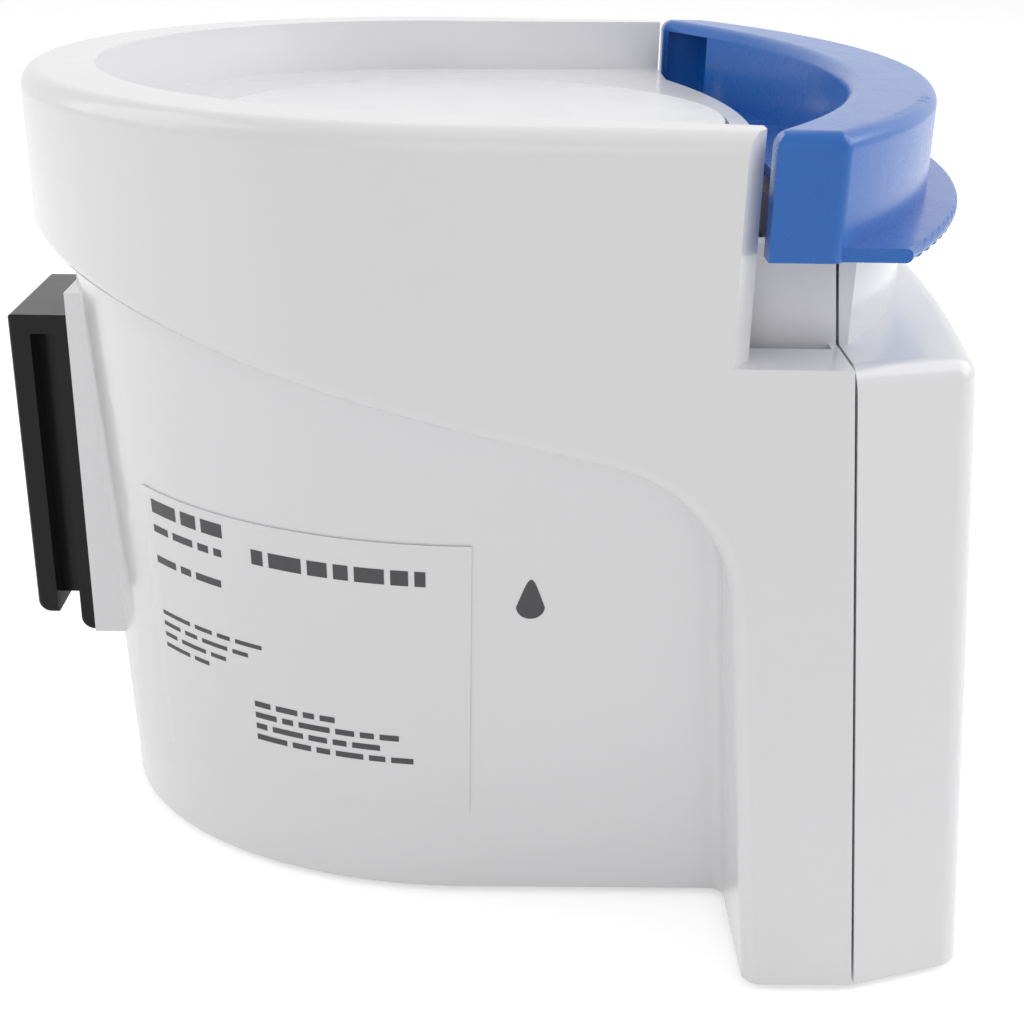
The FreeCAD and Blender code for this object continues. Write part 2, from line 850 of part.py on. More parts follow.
def pin_y():
    """Half-way between the guard's inner skirt and the neck, at the pins' distance."""
    skirt = "(%s-sqrt((guard_back_radius+guard_wall)^2-pin_spread^2))" % BACK_Y
    wall = "(%s-sqrt((guard_front_radius-%s-neck_wall)^2-pin_spread^2))" % (FRONT_Y, NECK)
    return "(%s+%s)/2" % (skirt, wall)


pin_sockets = [
    rod("pin_socket_" + name, "pin_radius", (across, pin_y(), "ledge_level-pin_seat"), "pin_seat+1")
    for name, across in PINS.items()
]
bezel_shell = cut("bezel_shell", bezel_form, bezel_inner)
bezel_built = fuse("bezel_built", bezel_shell, neck, *pillars)
bezel_less = fuse("bezel_less", overlay_sheet, panel_openings, *pin_sockets)
seam_clear = body("seam_clear")
seam_clear_corners = [
    ("-%s-seam_gap" % seam("-1"), "-1"),
    ("-%s-seam_gap" % seam("ring_top"), "ring_top"),
    ("0", "ring_top"),
    ("0", "-1"),
]
seam_clear_pad = pad(
    seam_clear,
    sketch(seam_clear, "seam_clear_side", "YZ_Plane", seam_clear_corners),
    "ring_radius*3",
)
seam_clear_pad.Midplane = True
bezel_cleared = fuse("bezel_cleared", bezel_less, seam_clear)
keep(cut("front_bezel", bezel_built, bezel_cleared), "front_bezel")
keep(cut("panel_overlay", overlay_sheet, panel_openings), "panel_overlay")
window_pane = box(
    "window_pane",
    ("-window_width/2+button_gap/2", "window_width/2-button_gap/2"),
    ("-5", "bezel_wall"),
    (
        "window_middle-window_height/2+button_gap/2",
        "window_middle+window_height/2-button_gap/2",
    ),
    panel=True,
)
display_window = keep(common("display_window", window_pane, bezel_form), "display_window")

# ---------------------------------------------------------------------------
# Buttons, lamps and the display board behind the bezel
# ---------------------------------------------------------------------------
SWITCH_FACE = "(board_depth-3.5)"
PLUNGER_END = "(%s-0.8-button_press-0.1)" % SWITCH_FACE


def button(name, across):
    """A round push-button: its head in the panel, a flange behind the wall and a plunger."""
    front = "(%s-button_proud)" % sag(across)
    behind = "(%s+bezel_wall+0.15)" % sag("abs(%s)+button_radius+1.4" % across)
    head = rod(name + "_head", "button_radius", (across, front, "button_height"),
               "%s-%s+1.2" % (behind, front), "y", panel=True)
    flange = rod(name + "_flange", "button_radius+1.4", (across, behind, "button_height"),
                 "1.2", "y", panel=True)
    plunger = rod(name + "_plunger", "button_radius/3", (across, behind, "button_height"),
                  "%s-%s" % (PLUNGER_END, behind), "y", panel=True)
    soft_head = rounded(
        name + "_soft", head, "button_proud/2", lambda e: e.BoundBox.YMax < head.Shape.BoundBox.YMin + 1.6
        and e.Length > 10
    )
    return keep(fuse(name, soft_head, flange, plunger), name)


def switch(name, across):
    """The small dome switch that a button's plunger presses."""
    shell_ = box(name + "_case", (across + "-3", across + "+3"), (SWITCH_FACE, "board_depth"),
                 ("button_height-3", "button_height+3"), panel=True)
    dome = rod(name + "_dome", "1.7", (across, SWITCH_FACE + "-0.8", "button_height"), "0.9", "y",
               panel=True)
    return keep(fuse(name, shell_, dome), name)


for button_name, across in BUTTONS.items():
    button(button_name, across)
    switch(button_name.replace("button", "switch"), across)

for lamp_name, across in LAMPS.items():
    front = "(%s+0.05)" % sag(across)
    pipe = rod(lamp_name, "lamp_radius-0.1", (across, front, "lamp_height"),
               "board_depth-" + front, "y", panel=True)
    keep(pipe, lamp_name)

display_module = box(
    "display_module",
    ("-window_width/2+1.5", "window_width/2-1.5"),
    ("bezel_wall+1", "board_depth"),
    ("window_middle-window_height/2+1", "window_middle+window_height/2-1"),
    panel=True,
)
keep(display_module, "display_module")
display_board = box(
    "display_board",
    ("-overlay_width/2+4", "overlay_width/2-4"),
    ("board_depth", "board_depth+board_thick"),
    ("overlay_bottom+2", "overlay_top-2"),
    panel=True,
)
keep(display_board, "display_board")

# ---------------------------------------------------------------------------
# Finger guard, which slides down over the neck against two springs
# ---------------------------------------------------------------------------
GUARD_BOTTOM = "(guard_top-guard_height)"
GUARD_CEILING = "(guard_top-guard_wall)"
SKIRT_HALF = "(%s-neck_clearance)" % RIB_INNER


def guard_outline(name, inset, rear, bottom, top):
    """The space inside the guard's crowned front and flat ends, inset by a wall."""
    front = rod(name + "_front", "guard_front_radius-(%s)" % inset, ("0", FRONT_Y, bottom),
                "(%s)-(%s)" % (top, bottom))
    ends = box(name + "_ends", ("-guard_half_width+(%s)" % inset, "guard_half_width-(%s)" % inset),
               ("-guard_front-1", "-" + rear), (bottom, top))
    return common(name, front, ends)


guard_back = rod("guard_back_face", "guard_back_radius", ("0", BACK_Y, GUARD_BOTTOM + "-1"),
                 "guard_height+2")
guard_block = cut(
    "guard_block",
    guard_outline("guard_form", "0", "guard_rear", GUARD_BOTTOM, "guard_top"),
    guard_back,
)


def guard_edge(edge):
    """Whether an edge is one of the guard's top or upright outer edges."""
    frame = edge.BoundBox
    corner = abs(frame.XMax - frame.XMin) < 0.01 and frame.ZMax - frame.ZMin > size("guard_height") / 2
    outer_corner = corner and frame.YMax < -size("guard_rear") - 4
    return at_level(edge, "guard_top") or outer_corner


guard_soft = rounded("guard_soft", guard_block, "guard_round", guard_edge)
lip_arc = rod("lip_arc", "lip_radius", ("0", "lip_radius-lip_front", GUARD_BOTTOM), "lip_thick")
lip_span = box("lip_span", ("-guard_half_width+1", "guard_half_width-1"), ("-lip_front-1", "-guard_rear-9"),
               (GUARD_BOTTOM, GUARD_BOTTOM + "+lip_thick"))
lip = rounded(
    "lip",
    common("lip_blank", lip_arc, lip_span),
    "lip_round",
    lambda e: e.BoundBox.YMin < -size("lip_front") + 0.5,
)
guard_room = cut(
    "guard_room",
    guard_outline("guard_inside", "guard_wall", "guard_rear-1", GUARD_BOTTOM + "-1", GUARD_CEILING),
    rod("guard_skirt", "guard_back_radius+guard_wall", ("0", BACK_Y, GUARD_BOTTOM + "-2"),
        "guard_height+4"),
)
guard_end_rooms = common(
    "guard_end_rooms",
    guard_outline("guard_end_inside", "guard_wall", "guard_rear-1", GUARD_BOTTOM + "-1", GUARD_CEILING),
    fuse(
        "guard_end_spans",
        *[
            box("guard_end_" + tag, (low, high), ("-guard_front", "-ring_front"),
                (GUARD_BOTTOM + "-1", GUARD_CEILING))
            for tag, low, high in (
                ("left", "-guard_half_width+guard_wall", "-" + SKIRT_HALF),
                ("right", SKIRT_HALF, "guard_half_width-guard_wall"),
            )
        ]
    ),
)
guard_hollow = cut(
    "guard_hollow", fuse("guard_and_lip", guard_soft, lip), fuse("guard_rooms", guard_room, guard_end_rooms)
)
SLEEVE_LENGTH = "(guard_height-guard_wall)"
sleeves = []
bores = []
for pin_side, across in PINS.items():
    at = (across, pin_y(), GUARD_BOTTOM)
    sleeves.append(rod("sleeve_" + pin_side, "spring_radius", at, SLEEVE_LENGTH + "+0.5"))
    bores.append(rod("bore_" + pin_side, "pin_radius+pin_clearance", at, SLEEVE_LENGTH))
finger_guard = cut("finger_guard", fuse("guard_sleeved", guard_hollow, *sleeves), fuse("bores", *bores))
keep(finger_guard, "finger_guard")

for pin_side, across in PINS.items():
    pin = rod("guard_pin_" + pin_side, "pin_radius", (across, pin_y(), "ledge_level-pin_seat+0.2"),
              "guard_top-guard_wall-guard_travel-0.6-ledge_level+pin_seat-0.2")
    keep(pin, "guard_pin_" + pin_side)
    spring = cut(
        "guard_spring_" + pin_side,
        rod("spring_outside_" + pin_side, "spring_radius-0.1", (across, pin_y(), "ledge_level"),
            GUARD_BOTTOM + "-ledge_level"),
        rod("spring_inside_" + pin_side, "spring_radius-0.1-spring_wire",
            (across, pin_y(), "ledge_level-1"), "guard_height+20"),
    )
    keep(spring, "guard_spring_" + pin_side)

# ---------------------------------------------------------------------------
# Heater plate and what hangs below it
# ---------------------------------------------------------------------------
PLATE_TOP = "(deck_level+plate_proud)"
SEAT = "(deck_level-plate_flange)"
PLATE_UNDER = "(%s-plate_depth)" % PLATE_TOP
CORE = "(plate_radius-plate_step)"


def disc(name, radius, bottom, top, bore=None):
    """A disc or ring about the well's axis."""
    whole = rod(name + "_disc", radius, ("0", "0", bottom), "(%s)-(%s)" % (top, bottom))
    if bore is None:
        return whole
    return cut(name, whole, rod(name + "_bore", bore, ("0", "0", bottom + "-1"), "ring_top"))


plate_flange = disc("plate_flange", "plate_radius", SEAT + "+gasket_thick", PLATE_TOP)
plate_soft = rounded("plate_soft", plate_flange, "plate_proud/2", lambda e: at_level(e, PLATE_TOP))
sensor_well = rod("sensor_well", "2.2", ("0", "0", PLATE_UNDER + "-1"), "5")
heater_plate = cut(
    "heater_plate",
    fuse("plate_blank", plate_soft, disc("plate_core", CORE, PLATE_UNDER, SEAT + "+gasket_thick")),
    sensor_well,
)
keep(heater_plate, "heater_plate")
gasket = disc("plate_gasket", "plate_radius", SEAT, SEAT + "+gasket_thick", CORE + "+plate_gap")
keep(gasket, "plate_gasket")
ELEMENT_UNDER = "(%s-element_thick)" % PLATE_UNDER
CLAMP_UNDER = "(%s-clamp_thick)" % ELEMENT_UNDER
element = disc("heater_element", CORE + "-3", ELEMENT_UNDER, PLATE_UNDER, "10")
keep(element, "heater_element")
clamp = disc("clamp_ring", CORE + "-4", CLAMP_UNDER, ELEMENT_UNDER, "8")
keep(clamp, "element_clamp")
retainer = disc("retainer_ring", "plate_radius-0.5", DECK_UNDER + "-retainer_thick", DECK_UNDER,
                CORE + "-1")
retainer_step = disc("retainer_step", CORE + "+0.3", PLATE_UNDER + "-0.3", SEAT)
keep(cut("plate_retainer_clear", retainer, retainer_step), "plate_retainer")
keep(rod("plate_sensor", "2.0", ("0", "0", CLAMP_UNDER + "-4"), "%s+3.5-%s+4" % (PLATE_UNDER, CLAMP_UNDER)),
     "plate_sensor")
keep(box("thermal_cutout", ("14", "30"), ("-6", "6"), (CLAMP_UNDER + "-6", CLAMP_UNDER)),
     "thermal_cutout")
heat_shield = disc("shield_plate", CORE, CLAMP_UNDER + "-11", CLAMP_UNDER + "-9.5")
HANGERS = [(30.0 * math.cos(a), 30.0 * math.sin(a)) for a in (math.pi / 6, math.pi * 5 / 6, math.pi * 1.5)]
hangers = [
    rod("shield_post_%d" % (i + 1), "2", (str(round(x, 4)), str(round(y, 4)), CLAMP_UNDER + "-9.6"), "9.6")
    for i, (x, y) in enumerate(HANGERS)
]
keep(fuse("heat_shield_hung", heat_shield, *hangers), "heat_shield")

# ---------------------------------------------------------------------------
# Base cover, feet, screws and the electronics that stand on the cover
# ---------------------------------------------------------------------------
COVER_TOP = "(foot_height+cover_thick)"
cover_blank = lower_body(
    "cover_blank",
    size("housing_wall+cover_gap"),
    BODY_FRONT - size("cover_gap"),
    BASE,
    COVER_TOP,
)
BOARD_SIDES = ("-mainboard_width/2+4", "mainboard_width/2-4")
BOARD_ROWS = ("-mainboard_front+4", "-mainboard_front+mainboard_depth-4")
stand_offs = [
    rod("stand_off_%d" % (i + 1), "3", (across, along, COVER_TOP + "-1"),
        "mainboard_level-%s+1" % COVER_TOP)
    for i, (across, along) in enumerate((a, b) for a in BOARD_SIDES for b in BOARD_ROWS)
]
cover_holes = [
    rod(name + "_clear", "screw_radius+0.2", (at[0], at[1], "-1"), "mainboard_level")
    for name, at in SCREWS.items()
]
sinks = [
    rod(name + "_sink", "screw_radius*2.2", (at[0], at[1], "-1"), "foot_height+1+screw_radius*0.6")
    for name, at in SCREWS.items()
]
cover_up = fuse("cover_up", cover_blank, *stand_offs)
keep(cut("base_cover", cover_up, fuse("cover_less", *cover_holes, *sinks)), "base_cover")
for name, at in SCREWS.items():
    head = rod(name + "_head", "screw_radius*2", (at[0], at[1], BASE), "screw_radius*0.6")
    shank = rod(name + "_shank", "screw_radius", (at[0], at[1], BASE), "mainboard_level-2")
    keep(fuse(name, head, shank), name)

FEET = {
    "foot_front_left": ("-ring_radius+foot_radius+10", "-block_rear-foot_radius-2"),
    "foot_front_right": ("ring_radius-foot_radius-10", "-block_rear-foot_radius-2"),
    "foot_rear_left": ("-foot_spread*0.3", "body_rear-housing_wall-foot_radius-4"),
    "foot_rear_right": ("foot_spread*0.3", "body_rear-housing_wall-foot_radius-4"),
}
FEET["foot_middle"] = ("0", "0")
for name, at in FEET.items():
    foot = cone(name, "foot_radius-0.4", "foot_radius", (at[0], at[1], "0"), "foot_height")
    keep(foot, name)

main_board = box(
    "main_board",
    ("-mainboard_width/2", "mainboard_width/2"),
    ("-mainboard_front", "-mainboard_front+mainboard_depth"),
    ("mainboard_level", "mainboard_level+board_thick"),
)
keep(main_board, "main_board")
BOARD_TOP = "(mainboard_level+board_thick)"


def on_board(name, across, along, height, base=BOARD_TOP):
    """A block-shaped component that stands on the main board."""
    return keep(box(name, across, along, (base, "%s+%s" % (base, height))), name)


on_board("relay", ("-30", "-10"), ("-38", "-28"), "15.5")
on_board("buzzer_case", ("-3", "9"), ("-22", "-10"), "8")
on_board("mains_fuse", ("-32", "-10"), ("-22", "-14"), "8.5")
for i, across in enumerate(("17", "31")):
    capacitor = rod("capacitor_%d" % (i + 1), "6", (across, "-33", BOARD_TOP), "22")
    keep(capacitor, "capacitor_%d" % (i + 1))
fins = [
    box("fin_%d" % i, ("%g" % (14 + 4 * i), "%g" % (15.4 + 4 * i)), ("-20", "-9"),
        (BOARD_TOP, BOARD_TOP + "+20"))
    for i in range(5)
]
fin_base = box("fin_base", ("14", "31.4"), ("-20", "-9"), (BOARD_TOP, BOARD_TOP + "+4"))
keep(fuse("triac_heatsink", fin_base, *fins), "triac_heatsink")

coil = cut(
    "transformer_ring",
    rod("coil_outside", "coil_radius", ("0", "coil_place", COVER_TOP), "coil_height"),
    rod("coil_inside", "coil_bore", ("0", "coil_place", "0"), "coil_height*2"),
)


def round_ends(edge):
    """Whether an edge is one of the two outer rims of the winding."""
    return edge.Length > 2 * math.pi * size("coil_radius") - 0.1


keep(rounded("transformer_round", coil, "coil_height/4", round_ends), "transformer")
coil_bolt = fuse(
    "coil_bolt",
    rod("coil_bolt_shank", "2.5", ("0", "coil_place", COVER_TOP), "coil_height+2"),
    rod("coil_washer", "coil_bore+4", ("0", "coil_place", COVER_TOP + "+coil_height"), "1.5"),
)
keep(coil_bolt, "transformer_clamp")

harness = body("harness")
ribbon_run = [
    ("-mainboard_front+3", BOARD_TOP),
    ("-mainboard_front+3", BOARD_TOP + "+5"),
    ("-mainboard_front-8", BOARD_TOP + "+11"),
    ("-mainboard_front-19.2", BOARD_TOP + "+11"),
    ("-mainboard_front-19.2", BOARD_TOP + "+9.8"),
    ("-mainboard_front-8.6", BOARD_TOP + "+9.8"),
    ("-mainboard_front+1.8", BOARD_TOP + "+4.2"),
    ("-mainboard_front+1.8", BOARD_TOP),
]
pad(harness, sketch(harness, "harness_side", "YZ_Plane", ribbon_run), "24").Midplane = True
keep(harness, "ribbon_harness")

# ---------------------------------------------------------------------------
# Outside: mounting rail, sockets, mains gland and the plain label
# ---------------------------------------------------------------------------
WEB_REAR = "(rail_rear-rail_plate)"
WEB_FRONT = "(rail_front+rail_front_plate)"
rail_pieces = [
    box("rail_rear_plate", ("-rail_half_width", "rail_half_width"), (WEB_REAR, "rail_rear"),
        ("rail_bottom", "rail_top")),
    box("rail_front_plate", ("-rail_half_width", "rail_half_width"), ("rail_front", WEB_FRONT),
        ("rail_bottom-rail_tongue", "rail_top")),
    box("rail_middle", ("-rail_web", "rail_web"), (WEB_FRONT + "-0.5", WEB_REAR + "+0.5"),
        ("rail_bottom+2", "rail_top")),
    box("rail_head", ("-rail_half_width", "rail_half_width"), (WEB_FRONT + "-0.5", WEB_REAR + "+0.5"),
        ("rail_top-rail_cap", "rail_top")),
]
rail_blank = fuse("rail_blank", *rail_pieces)


def rail_edge(edge):
    """Whether an edge is one of the rail's long outer edges or its upper rear edge."""
    frame = edge.BoundBox
    wide = abs(max(frame.XMax, -frame.XMin) - size("rail_half_width")) < 0.01
    at_rear = abs(frame.YMin - size("rail_rear")) < 0.01
    upright = frame.ZMax - frame.ZMin > 5
    across = frame.XMax - frame.XMin > size("rail_half_width") and at_level(edge, "rail_top")
    return at_rear and (wide and upright or across)


def rail_end(edge):
    """Whether an edge is the lower rear edge of one of the rail's two plates."""
    frame = edge.BoundBox
    across = frame.XMax - frame.XMin > size("rail_half_width")
    rear_plate = at_level(edge, "rail_bottom") and frame.YMin > size("rail_rear") - 0.01
    front_plate = at_level(edge, "rail_bottom-rail_tongue") and frame.YMin > size(WEB_FRONT) - 0.01
    return across and (rear_plate or front_plate)


rail_ended = rounded("rail_ended", rail_blank, "rail_end_round", rail_end)
rail_soft = rounded("rail_rounded", rail_ended, "rail_round", rail_edge)
threads = [
    rod(name + "_thread", RAIL_SHANK + "+0.02", ("0", "body_rear*0.8", up),
        "%s-body_rear*0.8" % WEB_REAR, "y")
    for name, up in RAIL_SCREWS.items()
]
keep(cut("mounting_rail", rail_soft, fuse("rail_threads", *threads)), "mounting_rail")
for name, up in RAIL_SCREWS.items():
    inside = "(body_rear-housing_wall+tan(body_rear_taper)*(%s)-2.7)" % up
    head = rod(name + "_head", "3.2", ("0", inside, up), "2", "y")
    shank = rod(name + "_shank", RAIL_SHANK, ("0", inside, up), "%s-0.5-%s" % (WEB_REAR, inside), "y")
    keep(fuse(name, head, shank), name)

for name, along in SOCKETS.items():
    inner_end = "(socket_reach-14)"
    cup = cut(
        name + "_cup",
        rod(name + "_outer", "socket_bore-0.2", (inner_end, along, "socket_height"), "13.4", "x"),
        fuse(
            name + "_hollow",
            rod(name + "_recess", "socket_bore-1.7", (inner_end + "+3", along, "socket_height"), "20", "x"),
            rod(name + "_back", "4.05", (inner_end + "-1", along, "socket_height"), "6", "x"),
        ),
    )
    keep(cup, name)
    contacts = [
        rod("%s_contact_%d" % (name, i + 1), "0.6",
            (inner_end + "-3", "%s+%.4f" % (along, 2.4 * math.cos(angle)),
             "socket_height+%.4f" % (2.4 * math.sin(angle))), "12", "x")
        for i, angle in enumerate(math.radians(90 + 120 * k) for k in range(3))
    ]
    holder = rod(name + "_holder", "4", (inner_end, along, "socket_height"), "3", "x")
    keep(fuse(name + "_contacts", holder, *contacts), name + "_contacts")

gland = cut(
    "gland",
    fuse(
        "gland_solid",
        rod("gland_thread", "gland_radius-1.2", ("gland_place", "body_rear*0.74", "gland_height"),
            "gland_reach-body_rear*0.74", "y"),
        rod("gland_collar", "gland_radius", ("gland_place", "gland_reach-3", "gland_height"), "3", "y"),
    ),
    rod("gland_bore", "3.6", ("gland_place", "gland_reach-12", "gland_height"), "20", "y"),
)
keep(gland, "cord_gland")

LABEL_GAP = 0.1
label_film = cut(
    "label_film",
    lower_body("label_outside", -LABEL_GAP - size("label_thick"), size("block_rear"),
               "label_bottom", "label_top"),
    lower_body("label_inside", -LABEL_GAP, size("block_rear"), BASE, "body_top"),
)
label_span = box("label_span", ("-ring_radius", "0"), ("-label_front", "label_rear"),
                 ("label_bottom", "label_top"))
keep(common("rating_label", label_film, label_span), "rating_label")

# ---------------------------------------------------------------------------
# Check every object, then write each sub-part
# ---------------------------------------------------------------------------
doc.recompute()
broken = [o.Name for o in doc.Objects if "Invalid" in o.State or "Error" in o.State]
if broken:
    raise RuntimeError("failed objects: " + ", ".join(broken))
for node in NODES:
    shape = node.Shape
    if shape.isNull() or not shape.isValid() or not shape.Solids:
        raise RuntimeError("bad shape: " + node.Label)
os.makedirs("parts", exist_ok=True)
for node in NODES:
    node.Shape.exportStep(os.path.join("parts", node.Label + ".step"))
print(len(NODES), "sub-parts written")
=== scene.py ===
import logging
import math
from dataclasses import dataclass
from enum import Enum
from typing import Iterable, Sequence

import bmesh
import bpy
from mathutils import Matrix, Vector
from mathutils.bvhtree import BVHTree


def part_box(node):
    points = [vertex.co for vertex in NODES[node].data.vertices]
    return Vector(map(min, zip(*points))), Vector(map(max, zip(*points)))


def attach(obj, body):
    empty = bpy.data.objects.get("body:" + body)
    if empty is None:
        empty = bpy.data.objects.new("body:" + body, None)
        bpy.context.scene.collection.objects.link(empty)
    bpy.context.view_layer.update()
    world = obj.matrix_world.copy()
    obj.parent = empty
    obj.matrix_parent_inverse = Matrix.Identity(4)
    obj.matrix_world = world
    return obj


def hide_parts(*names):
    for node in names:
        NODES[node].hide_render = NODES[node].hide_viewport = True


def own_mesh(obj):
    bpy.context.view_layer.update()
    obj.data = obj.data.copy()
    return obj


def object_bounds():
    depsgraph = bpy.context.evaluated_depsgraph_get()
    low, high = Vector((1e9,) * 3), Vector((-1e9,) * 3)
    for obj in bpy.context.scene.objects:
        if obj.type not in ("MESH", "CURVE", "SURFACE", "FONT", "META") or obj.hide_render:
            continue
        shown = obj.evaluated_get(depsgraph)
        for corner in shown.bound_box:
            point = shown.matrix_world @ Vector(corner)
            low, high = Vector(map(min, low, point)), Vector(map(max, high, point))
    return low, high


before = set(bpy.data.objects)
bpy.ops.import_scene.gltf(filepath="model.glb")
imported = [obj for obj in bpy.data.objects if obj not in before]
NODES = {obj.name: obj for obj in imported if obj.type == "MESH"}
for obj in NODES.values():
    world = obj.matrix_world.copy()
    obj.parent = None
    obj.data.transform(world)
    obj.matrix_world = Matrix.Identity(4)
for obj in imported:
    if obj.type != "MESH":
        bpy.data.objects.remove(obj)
CAD_BOX = [list(corner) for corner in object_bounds()]

LOG = logging.getLogger("humidifier_base")
MM = 0.001

SHARP_DEG = 24.0
SHARP_KEY_DEG = 40.0
SHARP_LIP_DEG = 50.0
SHARP_SHEET_DEG = 60.0
MERGE_DISTANCE = 1e-6
INK_LIFT_MM = 0.04


# ---------------------------------------------------------------------------
# Node helpers
# ---------------------------------------------------------------------------
def linear(colour: str, alpha: float = 1.0) -> tuple[float, float, float, float]:
    """Turn an sRGB hex colour into linear light.

    Args:
        colour: Six hex digits after a hash.
        alpha: Opacity to put in the fourth place.

    Returns:
        Red, green, blue and alpha.
    """
    parts = [int(colour[i : i + 2], 16) / 255 for i in (1, 3, 5)]
    lit = [c / 12.92 if c <= 0.04045 else ((c + 0.055) / 1.055) ** 2.4 for c in parts]
    return (lit[0], lit[1], lit[2], alpha)


def add(tree: bpy.types.NodeTree, kind: str, links: dict | None = None, **settings) -> bpy.types.Node:
    """Add one node, set its properties and inputs, and link what feeds it.

    Args:
        tree: Node tree of the material or world.
        kind: Node type, such as "ShaderNodeMix".
        links: Input name or index to the socket that feeds it.
        settings: Property names, or input names and indices under "values".

    Returns:
        The new node.
    """
    node = tree.nodes.new(kind)
    values = settings.pop("values", {})
    for name, value in settings.items():
        setattr(node, name, value)
    for name, value in values.items():
        node.inputs[name].default_value = value
    for name, socket in (links or {}).items():
        tree.links.new(socket, node.inputs[name])
    return node


def per_mm(millimetres: float) -> float:
    """Noise scale on Object coordinates whose features are this many millimetres wide."""
    return 1.0 / (millimetres * MM)


# ---------------------------------------------------------------------------
# Finishes
# ---------------------------------------------------------------------------
@dataclass(frozen=True)
class Finish:
    """A moulded, coated or turned surface, from its base colour to its finest grain.

    Attributes:
        name: What the real material is and how its surface was made.
        colour: Main colour, sRGB hex.
        tint: Second colour that a broad, faint mottle mixes in.
        rough: Roughness of a clean area.
        rough_spread: How far fine scuffs move the roughness.
        grain_mm: Width of the fine surface grain.
        grain_height: Height of that grain in millimetres.
        wave_mm: Width of the slow unevenness of a moulding.
        wave_height: Height of that unevenness in millimetres.
        metallic: 1 for bare metal.
        ior: Refractive index; a metal keeps the default.
        coat: Weight of a clear gloss layer.
        coat_rough: Roughness of that layer.
        scatter: Weight of light that enters the surface and comes out nearby.
        transmit: Weight of light that passes through.
        glow: Emission strength.
        sheen: Weight of the soft dust-like edge light of rubber.
    """

    name: str
    colour: str
    tint: str
    rough: float
    rough_spread: float = 0.06
    grain_mm: float = 0.6
    grain_height: float = 0.004
    wave_mm: float = 30.0
    wave_height: float = 0.0
    metallic: float = 0.0
    ior: float = 1.5
    coat: float = 0.0
    coat_rough: float = 0.05
    scatter: float = 0.0
    transmit: float = 0.0
    glow: float = 0.0
    sheen: float = 0.0

    def base(self, tree: bpy.types.NodeTree, place: bpy.types.NodeSocket) -> bpy.types.NodeSocket:
        """Colour with a broad, faint mottle.

        Args:
            tree: Node tree of the material.
            place: Object coordinates.

        Returns:
            Colour socket.
        """
        mottle = add(tree, "ShaderNodeTexNoise", {"Vector": place},
                     values={"Scale": per_mm(22), "Detail": 3.0, "Roughness": 0.5})
        mixed = add(tree, "ShaderNodeMix", {0: mottle.outputs["Fac"]}, data_type="RGBA",
                    values={6: linear(self.colour), 7: linear(self.tint)})
        return mixed.outputs[2]

    def height(self, tree: bpy.types.NodeTree, place: bpy.types.NodeSocket) -> bpy.types.NodeSocket:
        """Height of the grain and the slow unevenness, in metres.

        Args:
            tree: Node tree of the material.
            place: Object coordinates.

        Returns:
            Height socket.
        """
        grain = add(tree, "ShaderNodeTexNoise", {"Vector": place},
                    values={"Scale": per_mm(self.grain_mm), "Detail": 2.0})
        wave = add(tree, "ShaderNodeTexNoise", {"Vector": place},
                   values={"Scale": per_mm(self.wave_mm), "Detail": 1.0})
        fine = add(tree, "ShaderNodeMath", {0: grain.outputs["Fac"]}, operation="MULTIPLY",
                   values={1: self.grain_height * MM})
        both = add(tree, "ShaderNodeMath", {0: wave.outputs["Fac"], 2: fine.outputs[0]},
                   operation="MULTIPLY_ADD", values={1: self.wave_height * MM})
        return both.outputs[0]

    def make(self) -> bpy.types.Material:
        """Build the material.

        Returns:
            A node material named for the finish.
        """
        found = bpy.data.materials.get(self.name)
        if found is not None and found.get("finished"):
            return found
        material = bpy.data.materials.new(self.name)
        material["finished"] = True
        material.use_nodes = True
        tree = material.node_tree
        shader = tree.nodes["Principled BSDF"]
        place = add(tree, "ShaderNodeTexCoord").outputs["Object"]
        tree.links.new(self.base(tree, place), shader.inputs["Base Color"])
        scuff = add(tree, "ShaderNodeTexNoise", {"Vector": place},
                    values={"Scale": per_mm(5), "Detail": 5.0, "Roughness": 0.65})
        rough = add(tree, "ShaderNodeMapRange", {"Value": scuff.outputs["Fac"]},
                    values={"From Min": 0.3, "From Max": 0.7, "To Min": self.rough - self.rough_spread / 2,
                            "To Max": self.rough + self.rough_spread})
        tree.links.new(rough.outputs["Result"], shader.inputs["Roughness"])
        bump = add(tree, "ShaderNodeBump", {"Height": self.height(tree, place)},
                   values={"Strength": 1.0, "Distance": 1.0})
        tree.links.new(bump.outputs["Normal"], shader.inputs["Normal"])
        fixed = {"Metallic": self.metallic, "Coat Weight": self.coat, "Coat Roughness": self.coat_rough,
                 "Transmission Weight": self.transmit, "Subsurface Weight": self.scatter,
                 "Sheen Weight": self.sheen, "Emission Strength": self.glow}
        if not self.metallic:
            fixed["IOR"] = self.ior
        for name, value in fixed.items():
            shader.inputs[name].default_value = value
        if self.scatter:
            shader.inputs["Subsurface Radius"].default_value = (1.0, 0.9, 0.8)
            shader.inputs["Subsurface Scale"].default_value = 1.2 * MM
        if self.glow:
            shader.inputs["Emission Color"].default_value = linear(self.colour)
        return material


